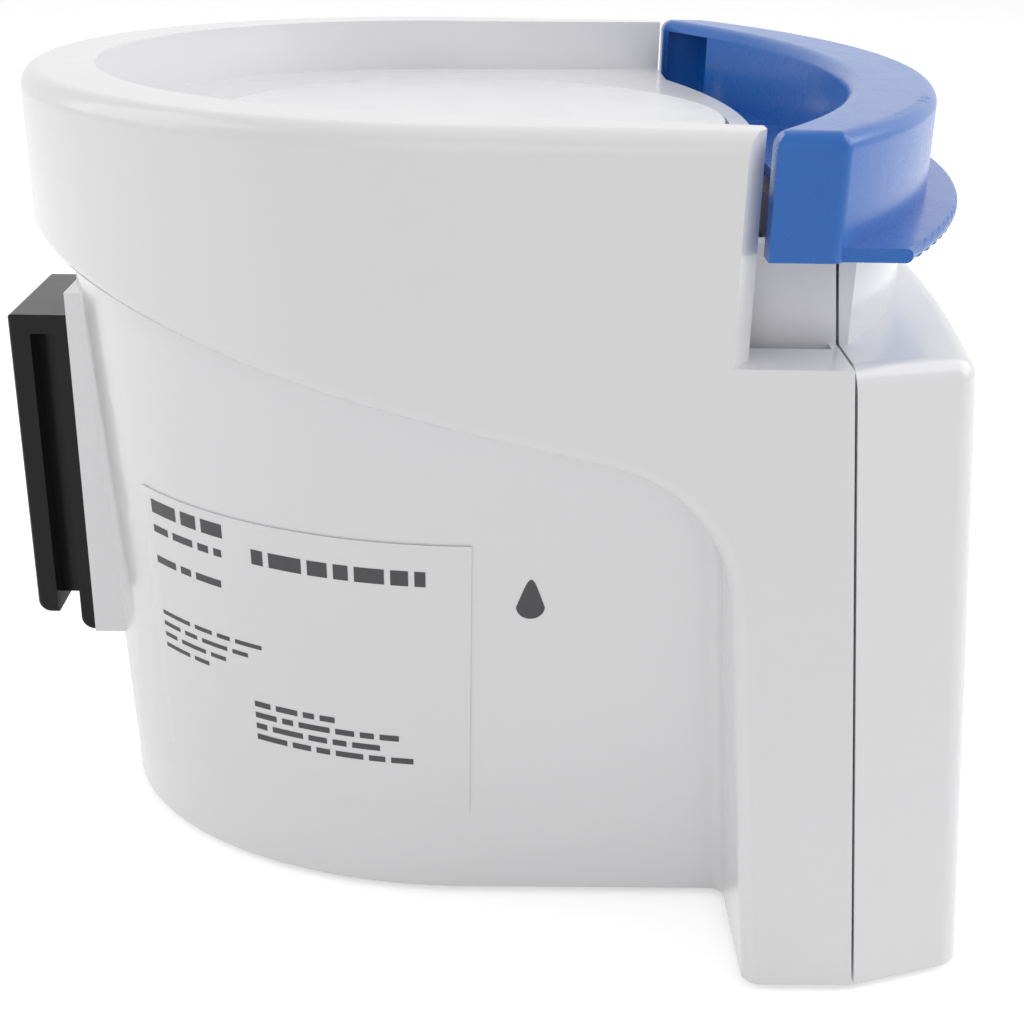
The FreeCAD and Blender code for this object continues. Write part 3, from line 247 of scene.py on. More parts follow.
@dataclass(frozen=True)
class TurnedFinish(Finish):
    """Aluminium faced on a lathe, with fine rings about the well's axis.

    Attributes:
        ring_mm: Pitch of the rings; coarser than the real 0.2 mm, so that they show.
        ring_height: Height of the rings in millimetres.
    """

    ring_mm: float = 0.8
    ring_height: float = 0.004

    def height(self, tree: bpy.types.NodeTree, place: bpy.types.NodeSocket) -> bpy.types.NodeSocket:
        """Rings about the Z axis over the plain grain, in metres."""
        plain = super().height(tree, place)
        rings = add(tree, "ShaderNodeTexWave", {"Vector": place}, wave_type="RINGS",
                    rings_direction="Z", values={"Scale": per_mm(self.ring_mm) / 20, "Distortion": 0.0})
        total = add(tree, "ShaderNodeMath", {0: rings.outputs["Fac"], 2: plain},
                    operation="MULTIPLY_ADD", values={1: self.ring_height * MM})
        return total.outputs[0]


@dataclass(frozen=True)
class WoundFinish(Finish):
    """Polyester tape lapped over a ring of copper wire.

    Attributes:
        lap_mm: Pitch of the laps.
        lap_height: Height of a lap's edge in millimetres.
    """

    lap_mm: float = 6.0
    lap_height: float = 0.12

    def height(self, tree: bpy.types.NodeTree, place: bpy.types.NodeSocket) -> bpy.types.NodeSocket:
        """Lapped edges that run across the winding, in metres."""
        plain = super().height(tree, place)
        laps = add(tree, "ShaderNodeTexWave", {"Vector": place}, wave_type="BANDS", bands_direction="X",
                   wave_profile="SAW", values={"Scale": per_mm(self.lap_mm) / 20, "Distortion": 0.4})
        total = add(tree, "ShaderNodeMath", {0: laps.outputs["Fac"], 2: plain},
                    operation="MULTIPLY_ADD", values={1: self.lap_height * MM})
        return total.outputs[0]


@dataclass(frozen=True)
class BoardFinish(Finish):
    """Solder mask over copper tracks on a glass laminate.

    Attributes:
        track: Colour of the mask where copper lies under it.
        track_mm: Width of a track and its gap.
        track_share: Share of a cell that its bordering track takes.
    """

    track: str = "#2E7A4A"
    track_mm: float = 1.6
    track_share: float = 0.12

    def base(self, tree: bpy.types.NodeTree, place: bpy.types.NodeSocket) -> bpy.types.NodeSocket:
        """Mask colour with paler tracks."""
        plain = super().base(tree, place)
        cells = add(tree, "ShaderNodeTexVoronoi", {"Vector": place}, distance="CHEBYCHEV",
                    feature="DISTANCE_TO_EDGE", values={"Scale": per_mm(self.track_mm * 4)})
        edge = add(tree, "ShaderNodeMath", {0: cells.outputs["Distance"]}, operation="LESS_THAN",
                   values={1: self.track_share})
        mixed = add(tree, "ShaderNodeMix", {0: edge.outputs[0], 6: plain}, data_type="RGBA",
                    values={7: linear(self.track)})
        return mixed.outputs[2]


# Gloss-moulded ABS: a smooth off-white with a soft, slightly uneven mirror of the lamps.
GLOSS_ABS = Finish("gloss_moulded_abs", "#ECEBEC", "#EAE9EB", 0.24, 0.03, grain_mm=2.0,
                   grain_height=0.0002, wave_mm=40.0, wave_height=0.006, ior=1.53, coat=0.25,
                   coat_rough=0.10)
# The same ABS inside the case, as it leaves a plainer mould face: duller and a shade darker.
INNER_ABS = Finish("plain_moulded_abs", "#E4E3E4", "#DDDCDE", 0.46, grain_mm=0.8, grain_height=0.006)
# Polycarbonate blend moulded in a finely eroded mould: a strong blue with a broad, silky gleam.
# Its index is set below the polymer's 1.58, so that white surroundings don't grey its flat ends.
SATIN_BLUE = Finish("satin_moulded_blue", "#1F6AC2", "#1E67BD", 0.26, 0.03, grain_mm=0.7,
                    grain_height=0.0006, wave_mm=40.0, wave_height=0.004, ior=1.42, coat=0.15,
                    coat_rough=0.14)
# Glass-filled nylon with a polished skin: near black with long, clean streaks of light.
# Its index is set below the polymer's 1.53, so that it stays black among white surroundings.
BLACK_NYLON = Finish("gloss_moulded_nylon", "#0B0B0C", "#0E0E0F", 0.20, 0.05, grain_mm=1.5,
                     grain_height=0.0003, wave_mm=25.0, wave_height=0.005, ior=1.32)
# Printed polyester with a fine texture: an even grey-blue without any hard reflection.
PANEL_FILM = Finish("textured_polyester_film", "#C9D2DB", "#C4CDD7", 0.52, grain_mm=0.35,
                    grain_height=0.006, ior=1.58)
# Smoked polycarbonate: a dark gloss sheet through which only lit segments are seen.
SMOKED_WINDOW = Finish("smoked_polycarbonate", "#4A4A50", "#46464C", 0.06, 0.02, grain_height=0.0,
                       ior=1.58, transmit=0.92)
# Clear polyester label stock: a thin film, a little glossier and cooler than the wall under it.
CLEAR_LABEL = Finish("clear_coated_label", "#EBEAEB", "#EAE9EB", 0.18, 0.02, grain_mm=2.0,
                     grain_height=0.0001, wave_mm=40.0, wave_height=0.004, ior=1.5, coat=0.3,
                     coat_rough=0.06)
# Screen ink, cured flat: a dark grey, slightly duller than the film.
SCREEN_INK = Finish("cured_screen_ink", "#454547", "#3F3F42", 0.42, grain_mm=0.3, grain_height=0.002)
# White screen ink on the keys: a clean pale sign, as dull as the grey ink.
WHITE_INK = Finish("pale_screen_ink", "#F4F5F6", "#EFF0F2", 0.45, grain_mm=0.3, grain_height=0.002)
# Turned and lightly blasted aluminium: bright, with faint rings about its middle.
TURNED_PLATE = TurnedFinish("turned_aluminium", "#EDEDEE", "#E6E6E8", 0.36, 0.06, grain_mm=0.5,
                            grain_height=0.002, metallic=1.0)
# Rolled aluminium sheet and extrusion: an even mid-grey metal with a soft reflection.
SHEET_ALUMINIUM = Finish("rolled_aluminium", "#D9D9DB", "#CFCFD2", 0.34, grain_mm=0.5,
                         grain_height=0.003, metallic=1.0)
# Zinc-plated steel: cool grey with a faint blue-yellow cast and small scuffs.
ZINC_STEEL = Finish("zinc_plated_steel", "#BFC1C4", "#C9C5B8", 0.27, 0.14, grain_mm=0.5,
                    grain_height=0.003, metallic=1.0)
# Drawn spring wire: darker than the plated steel, with bright lines along each turn.
SPRING_STEEL = Finish("drawn_spring_steel", "#A9ABAE", "#B4B4B4", 0.24, 0.1, grain_mm=0.4,
                      grain_height=0.003, metallic=1.0)
# Gold-flashed brass: small warm glints at the bottom of the sockets.
CONTACT_BRASS = Finish("gold_flashed_brass", "#D9B25A", "#CFA552", 0.22, grain_height=0.001, metallic=1.0)
# Silicone keys: a soft grey that spreads the light and catches a little dust at its edges.
SILICONE_KEY = Finish("moulded_silicone", "#8FA0B4", "#8A9BB0", 0.55, grain_mm=0.5, grain_height=0.004,
                      ior=1.41, scatter=0.1, sheen=0.15)
# Moulded rubber: dull charcoal with a faint dusty edge.
DARK_RUBBER = Finish("moulded_rubber", "#2A2A2C", "#313133", 0.68, grain_mm=0.7, grain_height=0.012,
                     sheen=0.2)
# Moulded connector nylon: a plain dark grey, half dull.
GREY_SHELL = Finish("moulded_connector_nylon", "#4A4C50", "#45474B", 0.42, grain_mm=0.5, grain_height=0.004)
# Moulded component case: matt black, as relays and switches have; also the painted shade in the cover
# screws' cross recesses.
BLACK_CASE_AND_RECESS_SHADE = Finish("component_case_and_recess_shade", "#1E1F21", "#26272A", 0.48, grain_mm=0.6, grain_height=0.006)
# PVC sleeve shrunk over a can: smooth dark blue.
CAPACITOR_SLEEVE = Finish("shrunk_pvc_sleeve", "#24335C", "#1F2C52", 0.30, grain_height=0.003)
# Pressed mica: brown with coarse flakes.
MICA_SHEET = Finish("pressed_mica", "#A8926B", "#8F7A55", 0.5, 0.1, grain_mm=1.6, grain_height=0.02)
# Glazed ceramic: cream with a clean gloss.
CERAMIC = Finish("glazed_ceramic", "#E2DCCB", "#D8D1BE", 0.3, grain_height=0.002)
# Frosted acrylic: a milky lamp end that lets light in a little way.
LIGHT_PIPE = Finish("frosted_acrylic", "#E6E6DF", "#E0E0D8", 0.35, ior=1.49, scatter=0.3)
# Printed display face: flat black between the bars.
DISPLAY_FACE = Finish("display_face", "#141416", "#17171A", 0.3, grain_height=0.001)
# Lit bars behind the smoked window: a low, even red.
LIT_SEGMENT = Finish("lit_led_segment", "#FF3A22", "#FF3A22", 0.4, grain_height=0.0, glow=1.6)
# Extruded flat cable: plain grey PVC.
RIBBON = Finish("flat_ribbon_cable", "#A6A9AE", "#9DA0A6", 0.5, grain_height=0.004)
# Polyester tape over the winding: amber, with a step at each lap.
LAPPED_TAPE = WoundFinish("lapped_polyester_tape", "#D9AE34", "#CDA12D", 0.32, grain_mm=0.8,
                          grain_height=0.004, ior=1.58)
# Glass laminate under green mask: half gloss, with paler tracks.
CIRCUIT_BOARD = BoardFinish("solder_masked_laminate", "#1E5B34", "#1B5430", 0.34, grain_mm=0.6,
                            grain_height=0.003)


# ---------------------------------------------------------------------------
# Making and finishing pieces
# ---------------------------------------------------------------------------
class Body(Enum):
    """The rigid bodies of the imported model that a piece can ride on."""

    BASE = "base"
    GUARD = "guard"
    MUTE = "mute_key"
    MODE = "mode_key"
    POWER = "power_key"


def new_piece(name: str, mesh: bmesh.types.BMesh, finish: Finish, body: Body,
              stands_for: Sequence[str] = ()) -> bpy.types.Object:
    """Turn a bmesh into a shown piece of the object.

    Args:
        name: Name of the piece.
        mesh: Geometry in metres, in the part's own frame; it is freed here.
        finish: Surface of the piece.
        body: Body that it rides on.
        stands_for: CAD nodes that it replaces.

    Returns:
        The new object.
    """
    data = bpy.data.meshes.new(name)
    mesh.to_mesh(data)
    mesh.free()
    data.materials.append(finish.make())
    piece = bpy.data.objects.new(name, data)
    bpy.context.scene.collection.objects.link(piece)
    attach(piece, body.value)
    if stands_for:
        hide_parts(*stands_for)
    LOG.info("%s: %d faces", name, len(data.polygons))
    return piece


def smoothed(node: str, name: str, finish: Finish, body: Body,
             sharp_deg: float = SHARP_DEG) -> bpy.types.Object:
    """Show a CAD node through a merged, smooth-shaded copy whose hard edges stay hard.

    Args:
        node: CAD node to copy.
        name: Name of the copy.
        finish: Surface of the copy.
        body: Body that it rides on.
        sharp_deg: Angle between faces above which an edge stays hard.

    Returns:
        The copy.
    """
    mesh = bmesh.new()
    mesh.from_mesh(NODES[node].data)
    bmesh.ops.remove_doubles(mesh, verts=mesh.verts, dist=MERGE_DISTANCE)
    for face in mesh.faces:
        face.smooth = True
        face.material_index = 0
    limit = math.radians(sharp_deg)
    for edge in mesh.edges:
        edge.smooth = len(edge.link_faces) == 2 and edge.calc_face_angle(0.0) < limit
    piece = new_piece(name, mesh, finish, body, [node])
    normals = piece.modifiers.new("even_normals", "WEIGHTED_NORMAL")
    normals.keep_sharp = True
    normals.weight = 50
    return piece


def dress(nodes: Iterable[str], finish: Finish) -> None:
    """Give CAD nodes that stay as they are a finish of their own.

    Args:
        nodes: Names of the nodes.
        finish: Surface to give them.
    """
    for node in nodes:
        data = NODES[node].data
        for index in range(len(data.materials)):
            data.materials[index] = finish.make()
        if not data.materials:
            data.materials.append(finish.make())
        LOG.info("%s: %s", node, finish.name)


def box_at(mesh: bmesh.types.BMesh, centre: Vector, size: Vector, turn: Matrix | None = None) -> None:
    """Add a box to a bmesh.

    Args:
        mesh: Geometry to add to.
        centre: Middle of the box.
        size: Its three sizes.
        turn: Rotation about its middle.
    """
    place = Matrix.Translation(centre) @ (turn or Matrix.Identity(4)) @ Matrix.Diagonal((*size, 1.0))
    bmesh.ops.create_cube(mesh, size=1.0, matrix=place)


# ---------------------------------------------------------------------------
# Sub-assemblies
# ---------------------------------------------------------------------------
@dataclass
class CasePieces:
    """The white case, its base cover, feet, rail, sockets and inlet.

    Attributes:
        feet: CAD nodes of the feet.
        sockets: CAD nodes of the two sockets, whose contacts are named after them.
        screws: CAD nodes of the base cover's screws.
        recess: Length, width and depth of one bar of the flat dark cross painted as the shade in a screw's
            recess, in millimetres.
        recess_lift: How far the middle of a bar lies above the head's face, in millimetres.
    """

    feet: tuple[str, ...] = ("foot_front_left", "foot_front_right", "foot_rear_left", "foot_rear_right",
                             "foot_middle")
    sockets: tuple[str, ...] = ("probe_socket", "heater_wire_socket")
    screws: tuple[str, ...] = ("cover_screw_front_left", "cover_screw_front_right",
                               "cover_screw_rear_left", "cover_screw_rear_right")
    recess: tuple[float, float, float] = (3.2, 0.7, 0.1)
    recess_lift: float = 0.02

    def build(self) -> None:
        """Show the outer mouldings smooth and dress the rest."""
        smoothed("rear_housing", "housing_shell", GLOSS_ABS, Body.BASE)
        smoothed("front_bezel", "bezel_shell", GLOSS_ABS, Body.BASE)
        smoothed("base_cover", "cover_shell", INNER_ABS, Body.BASE)
        smoothed("mounting_rail", "rail_moulding", BLACK_NYLON, Body.BASE)
        smoothed("cord_gland", "gland_moulding", BLACK_NYLON, Body.BASE)
        for socket in self.sockets:
            smoothed(socket, socket + "_shell", GREY_SHELL, Body.BASE)
            dress([socket + "_contacts"], CONTACT_BRASS)
        for foot in self.feet:
            smoothed(foot, foot + "_pad", DARK_RUBBER, Body.BASE)
        dress([*self.screws, "rail_screw_upper", "rail_screw_lower"], ZINC_STEEL)
        for screw in self.screws:
            # Each cover screw gets a flat black cross: painted shade where its recess is.
            self.paint_recess_shade(screw)

    def paint_recess_shade(self, screw: str) -> None:
        """Put a flat dark cross on the head of a cover screw, as painted shade where its cross recess is.

        Args:
            screw: CAD node of the screw.
        """
        low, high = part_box(screw)
        middle = (low + high) / 2
        mesh = bmesh.new()
        for turn in (0.0, math.pi / 2):
            box_at(mesh, Vector((middle.x, middle.y, low.z + self.recess_lift * MM)),
                   Vector(self.recess) * MM, Matrix.Rotation(turn, 4, "Z"))
        # The black cross is painted shade standing in for the dark inside of the recess.
        new_piece(screw + "_recess_shade", mesh, BLACK_CASE_AND_RECESS_SHADE, Body.BASE)


@dataclass
class LabelPieces:
    """The clear label on the left side and the plain rules printed on it.

    Attributes:
        rules: Each rule's first and last place along Y, its middle height and its own height,
            in millimetres.
        dashes: Lengths of the dashes that the rules are divided into, in millimetres.
        gap: Space between two dashes, in millimetres.
        drop: Place along Y, height, and half-width of the drop mark, in millimetres.
        drop_rise: How far the drop's tip is drawn up, in half-widths.
        drop_taper: Share of its width that the drop loses towards its tip.
        lift: How far the ink stands off the film, in millimetres.
    """

    rules: tuple[tuple[float, float, float, float], ...] = (
        (48.4, 36.0, 65.2, 2.4), (48.4, 36.5, 61.2, 1.3), (48.4, 37.0, 55.6, 1.3), (31.6, 5.6, 62.2, 2.6),
        (48.4, 30.0, 45.6, 0.8), (48.4, 33.0, 43.5, 0.8), (48.4, 36.0, 41.4, 0.8), (48.4, 40.0, 39.3, 0.8),
        (33.0, 20.0, 34.4, 1.1), (33.0, 10.0, 32.2, 1.1), (33.0, 12.0, 30.0, 1.1), (33.0, 7.0, 27.8, 1.1),
    )
    dashes: tuple[float, ...] = (4.4, 2.6, 3.5, 1.8, 5.0, 3.0, 2.2)
    gap: float = 0.9
    drop: tuple[float, float, float] = (-9.6, 57.6, 2.1)
    drop_rise: float = 1.3
    drop_taper: float = 0.35
    lift: float = 0.05

    def onto_wall(self, mesh: bmesh.types.BMesh) -> None:
        """Press flat ink, drawn in the YZ plane, onto the outside of the case's left side.

        Args:
            mesh: Ink whose points lie at X of 0; they are moved along X.
        """
        walls = []
        for node in ("rating_label", "rear_housing"):
            solid = bmesh.new()
            solid.from_mesh(NODES[node].data)
            walls.append(BVHTree.FromBMesh(solid))
            solid.free()
        side = CAD_BOX[0][0]
        for vert in mesh.verts:
            start = Vector((side * 2, vert.co.y, vert.co.z))
            found = [wall.ray_cast(start, Vector((1, 0, 0)))[0] for wall in walls]
            hits = [where.x for where in found if where is not None]
            vert.co.x = min(hits, default=side) - self.lift * MM

    def rule(self, mesh: bmesh.types.BMesh, first: float, last: float, level: float, height: float) -> None:
        """Add one rule, cut fine enough along its length to follow the curved wall.

        Args:
            mesh: Ink to add to.
            first: Rear end along Y in millimetres.
            last: Front end along Y in millimetres.
            level: Middle height in millimetres.
            height: Its own height in millimetres.
        """
        steps = max(2, int(abs(first - last) / 2))
        place = (Matrix.Translation(Vector((0, (first + last) / 2, level)) * MM)
                 @ Matrix.Rotation(math.radians(-90), 4, "Y")
                 @ Matrix.Diagonal((height / 2 * MM, abs(first - last) / 2 * MM, 1, 1)))
        bmesh.ops.create_grid(mesh, x_segments=1, y_segments=steps, size=1.0, matrix=place)

    def split(self, first: float, last: float, row: int) -> list[tuple[float, float]]:
        """Divide a rule into plain dashes with even gaps.

        Args:
            first: Rear end of the rule along Y, in millimetres.
            last: Front end of the rule along Y, in millimetres.
            row: Number of the rule, which sets its first dash.

        Returns:
            Rear and front end of each dash.
        """
        found = []
        while first > last + self.gap:
            dash = self.dashes[(row + len(found)) % len(self.dashes)]
            found.append((first, max(last, first - dash)))
            first -= dash + self.gap
        return found

    def build(self) -> None:
        """Show the film and print the dashes and the drop."""
        smoothed("rating_label", "label_film", CLEAR_LABEL, Body.BASE, SHARP_SHEET_DEG)
        ink = bmesh.new()
        for row, (first, last, level, height) in enumerate(self.rules):
            for start, end in self.split(first, last, row):
                self.rule(ink, start, end, level, height)
        along, level, half = self.drop
        place = (Matrix.Translation(Vector((0, along, level)) * MM)
                 @ Matrix.Rotation(math.radians(-90), 4, "Y"))
        made = bmesh.ops.create_circle(ink, cap_ends=True, segments=32, radius=half * MM, matrix=place)
        for vert in made["verts"]:
            rise = vert.co.z - level * MM
            if rise > 0:
                share = rise / (half * MM)
                vert.co.z += share**2 * half * self.drop_rise * MM
                vert.co.y = along * MM + (vert.co.y - along * MM) * (1 - self.drop_taper * share)
        self.onto_wall(ink)
        new_piece("label_print", ink, SCREEN_INK, Body.BASE)


@dataclass
class PanelPieces:
    """The leaning control panel: film, window, display, lamps and three keys.

    Attributes:
        front: Distance of the panel's foot in front of the well's axis, in millimetres.
        lean: Lean of the panel, in degrees.
        crown: Radius of the panel's crown, in millimetres.
        pitch: Distance between the keys.
        key_height: Height of the keys up the panel.
        key_radius: Radius of a key.
        key_proud: How far a key stands off the panel.
        window: Middle height, width and height of the window.
        digit: Width, height and bar width of a digit.
        display_depth: Depth of the display's face behind the panel's front.
        lamps: Number, pitch and height of the lines under the lamps.
        border: Middle height, width and height of the line round the panel.
        lit: Lit bars of each digit, by their letters.
    """

    front: float = 82.4
    lean: float = 5.7
    crown: float = 400.0
    pitch: float = 30.0
    key_height: float = 30.0
    key_radius: float = 6.0
    key_proud: float = 1.4
    window: tuple[float, float, float] = (70.0, 46.0, 22.0)
    digit: tuple[float, float, float] = (8.0, 14.0, 1.5)
    display_depth: float = 3.75
    lamps: tuple[int, float, float] = (4, 13.0, 44.6)
    border: tuple[float, float, float] = (50.0, 99.0, 71.0)
    lit: tuple[str, ...] = ("abcdefg", "abcdefg", "abcdefg")

    def place(self) -> Matrix:
        """Matrix from panel places (across, up, outward) to the part's own frame."""
        lean = math.radians(self.lean)
        across = Vector((1, 0, 0))
        up = Vector((0, math.sin(lean), math.cos(lean)))
        turn = Matrix((across, up, across.cross(up))).transposed().to_4x4()
        return Matrix.Translation(Vector((0, -self.front * MM, 0))) @ turn

    def onto_panel(self, mesh: bmesh.types.BMesh, height: float) -> None:
        """Bend flat ink over the panel's crown and put it in place.

        Args:
            mesh: Ink drawn in X and Y, in metres.
            height: How far it stands off the crown, in millimetres.
        """
        crown = self.crown * MM
        for vert in mesh.verts:
            vert.co.z += height * MM - (crown - math.sqrt(crown**2 - vert.co.x**2))
        bmesh.ops.transform(mesh, matrix=self.place(), verts=mesh.verts)

    def ring(self, mesh: bmesh.types.BMesh, across: float, up: float, radius: float, width: float,
             sweep: float = 360.0) -> None:
        """Add a flat ring or arc, open at its top.

        Args:
            mesh: Ink to add to.
            across: Middle of the ring across the panel, in millimetres.
            up: Middle of the ring up the panel, in millimetres.
            radius: Inner radius in millimetres.
            width: Width of the line in millimetres.
            sweep: Angle that the arc covers, in degrees.
        """
        centre = Vector((across, up, 0)) * MM
        start = math.radians(90 + (360 - sweep) / 2)
        out = Vector((math.cos(start), math.sin(start), 0))
        verts = [mesh.verts.new(centre + out * r * MM) for r in (radius, radius + width)]
        edge = mesh.edges.new(verts)
        bmesh.ops.spin(mesh, geom=[*verts, edge], cent=centre, axis=(0, 0, 1), angle=math.radians(sweep),
                       steps=48, use_merge=sweep == 360.0, use_normal_flip=False)

    def bar(self, mesh: bmesh.types.BMesh, across: float, up: float, size: tuple[float, float],
            turn: float = 0.0) -> None:
        """Add a flat bar.

        Args:
            mesh: Ink to add to.
            across: Its middle across the panel, in millimetres.
            up: Its middle up the panel, in millimetres.
            size: Its length and width in millimetres.
            turn: Its turn in degrees.
        """
        length, width = size
        place = (Matrix.Translation(Vector((across, up, 0)) * MM)
                 @ Matrix.Rotation(math.radians(turn), 4, "Z")
                 @ Matrix.Diagonal((length / 2 * MM, width / 2 * MM, 1, 1)))
        steps = max(1, int(length / 4))
        bmesh.ops.create_grid(mesh, x_segments=steps, y_segments=1, size=1.0, matrix=place)

    def outline(self, mesh: bmesh.types.BMesh, up: float, width: float, height: float, line: float) -> None:
        """Add a rectangular line round a middle, in millimetres."""
        for sign in (-1, 1):
            self.bar(mesh, 0, up + sign * height / 2, (width + line, line))
            self.bar(mesh, sign * width / 2, up, (line, height - line))

    def print_film(self) -> None:
        """Print the plain lines round the keys, the lamps and the window."""
        ink = bmesh.new()
        for index in (-1, 0, 1):
            self.ring(ink, index * self.pitch, self.key_height, self.key_radius + 1.6, 0.5)
        count, pitch, rise = self.lamps
        for index in range(count):
            self.bar(ink, (index - (count - 1) / 2) * pitch, rise, (5.0, 0.5))
        level, width, height = self.window
        self.outline(ink, level, width + 5, height + 5, 0.5)
        self.outline(ink, *self.border, 0.6)
        self.onto_panel(ink, INK_LIFT_MM)
        new_piece("panel_print", ink, SCREEN_INK, Body.BASE)

    def print_keys(self) -> None:
        """Print a plain sign on each key: a crossed ring, three bars, and a ring with a bar."""
        marks = {Body.MUTE: -self.pitch, Body.MODE: 0.0, Body.POWER: self.pitch}
        for body, across in marks.items():
            ink = bmesh.new()
            if body is Body.MODE:
                for rise in (-1.6, 0.0, 1.6):
                    self.bar(ink, across, self.key_height + rise, (4.6, 0.6))
            elif body is Body.POWER:
                self.ring(ink, across, self.key_height, 2.1, 0.55, 290.0)
                self.bar(ink, across, self.key_height + 1.7, (2.4, 0.55), 90.0)
            else:
                self.ring(ink, across, self.key_height, 2.1, 0.55)
                self.bar(ink, across, self.key_height, (5.4, 0.55), 45.0)
            flat = self.crown - math.sqrt(self.crown**2 - across**2)
            for vert in ink.verts:
                vert.co.z += (self.key_proud + INK_LIFT_MM - flat) * MM
            bmesh.ops.transform(ink, matrix=self.place(), verts=ink.verts)
            new_piece(body.value + "_sign", ink, WHITE_INK, body)

    def segment(self, mesh: bmesh.types.BMesh, middle: Vector, length: float, upright: bool) -> None:
        """Add one pointed bar of a digit.

        Args:
            mesh: Geometry to add to.
            middle: Its middle in panel places, in millimetres.
            length: Its length in millimetres.
            upright: Whether it stands upright.
        """
        width = self.digit[2]
        turn = Matrix.Rotation(math.radians(90 if upright else 0), 4, "Z")
        stretch = Matrix.Diagonal((length / 2 * MM, width / 2 * MM, 1, 1))
        made = bmesh.ops.create_circle(mesh, cap_ends=True, segments=6, radius=1.0,
                                       matrix=Matrix.Translation(middle * MM) @ turn @ stretch)
        for vert in made["verts"]:
            off = turn.inverted() @ (vert.co - middle * MM)
            if abs(off.y) > 1e-6:
                off.x = math.copysign((length / 2 - width / 2) * MM, off.x)
                off.y = math.copysign(width / 2 * MM, off.y)
            vert.co = middle * MM + (turn @ off)

    def digits(self) -> None:
        """Show three seven-bar digits on the display's face."""
        wide, tall, _ = self.digit
        places = {"a": (0, tall / 2, False), "g": (0, 0, False), "d": (0, -tall / 2, False),
                  "b": (wide / 2, tall / 4, True), "c": (wide / 2, -tall / 4, True),
                  "e": (-wide / 2, -tall / 4, True), "f": (-wide / 2, tall / 4, True)}
        mesh = bmesh.new()
        for index, letters in enumerate(self.lit):
            across = (index - 1) * (wide + 4.0)
            for letter in letters:
                right, rise, upright = places[letter]
                length = (tall / 2 if upright else wide) - 0.5
                self.segment(mesh, Vector((across + right, self.window[0] + rise, 0)), length, upright)
        for vert in mesh.verts:
            vert.co.z -= (self.display_depth - 0.03) * MM
        bmesh.ops.transform(mesh, matrix=self.place(), verts=mesh.verts)
        new_piece("display_digits", mesh, LIT_SEGMENT, Body.BASE)

    def build(self) -> None:
        """Show the film, window, keys, lamps and display, and print the panel."""
        smoothed("panel_overlay", "panel_sheet", PANEL_FILM, Body.BASE, SHARP_SHEET_DEG)
        smoothed("display_window", "window_sheet", SMOKED_WINDOW, Body.BASE, SHARP_SHEET_DEG)
        keys = {"mute_button": Body.MUTE, "mode_button": Body.MODE, "power_button": Body.POWER}
        for key, body in keys.items():
            smoothed(key, key + "_key", SILICONE_KEY, body, SHARP_KEY_DEG)
            dress([key.replace("button", "switch")], BLACK_CASE_AND_RECESS_SHADE)
        dress(["display_module"], DISPLAY_FACE)
        dress(["lamp_%d" % (index + 1) for index in range(self.lamps[0])], LIGHT_PIPE)
        self.digits()
        self.print_film()
        self.print_keys()


@dataclass
class GuardPieces:
    """The blue finger guard, its two pins and the springs that lift it.

    Attributes:
        travel: How far the guard goes down, in millimetres; not used.
        wire: Radius of the spring wire, in millimetres.
        coil: Radius of the spring to the middle of its wire, in millimetres.
        turns: Turns of each spring.
        steps: Steps round one turn.
        facets: Facets round the wire.
    """

    travel: float = 10.0
    wire: float = 0.3
    coil: float = 2.15
    turns: int = 6
    steps: int = 28
    facets: int = 10

    def spring(self, side: str) -> None:
        """Wind one spring in the place of its CAD tube.

        Args:
            side: "left" or "right".
        """
        node = "guard_spring_" + side
        low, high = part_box(node)
        middle = (low + high) / 2
        steps = self.turns * self.steps
        rise = (high.z - low.z - 2 * self.wire * MM) / steps
        mesh = bmesh.new()
        start = Vector((middle.x + self.coil * MM, middle.y, low.z + self.wire * MM))
        bmesh.ops.create_circle(mesh, cap_ends=False, segments=self.facets, radius=self.wire * MM,
                                matrix=Matrix.Translation(start) @ Matrix.Rotation(math.radians(90), 4, "X"))
        bmesh.ops.spin(mesh, geom=mesh.verts[:] + mesh.edges[:], cent=(middle.x, middle.y, start.z),
                       axis=(0, 0, 1), dvec=(0, 0, rise), angle=math.radians(360 * self.turns),
                       steps=steps, use_merge=False)
        bmesh.ops.holes_fill(mesh, edges=[e for e in mesh.edges if e.is_boundary])
        bmesh.ops.recalc_face_normals(mesh, faces=mesh.faces)
        for face in mesh.faces:
            face.smooth = len(face.verts) == 4
        piece = new_piece(node + "_wire", mesh, SPRING_STEEL, Body.BASE, [node])
        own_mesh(piece)

    def build(self) -> None:
        """Show the guard and wind its springs."""
        smoothed("finger_guard", "guard_moulding", SATIN_BLUE, Body.GUARD, SHARP_LIP_DEG)
        dress(["guard_pin_left", "guard_pin_right"], ZINC_STEEL)
        for side in ("left", "right"):
            self.spring(side)


@dataclass
class HeaterPieces:
    """The turned plate in the well and what is clamped below it."""

    def build(self) -> None:
        """Dress the heater from the plate down."""
        smoothed("heater_plate", "plate_face", TURNED_PLATE, Body.BASE)
        dress(["plate_gasket"], DARK_RUBBER)
        dress(["heater_element"], MICA_SHEET)
        dress(["element_clamp", "plate_retainer"], ZINC_STEEL)
        dress(["heat_shield"], SHEET_ALUMINIUM)
        dress(["thermal_cutout"], BLACK_CASE_AND_RECESS_SHADE)
        dress(["plate_sensor"], CONTACT_BRASS)


@dataclass
class BoardPieces:
    """The boards, the transformer and the parts between them."""

    def build(self) -> None:
        """Dress the electronics."""
        dress(["main_board", "display_board"], CIRCUIT_BOARD)
        dress(["relay", "buzzer_case"], BLACK_CASE_AND_RECESS_SHADE)
        dress(["capacitor_1", "capacitor_2"], CAPACITOR_SLEEVE)
        dress(["triac_heatsink"], SHEET_ALUMINIUM)
        dress(["mains_fuse"], CERAMIC)
        dress(["ribbon_harness"], RIBBON)
        dress(["transformer_clamp"], ZINC_STEEL)
        smoothed("transformer", "transformer_winding", LAPPED_TAPE, Body.BASE, SHARP_KEY_DEG)


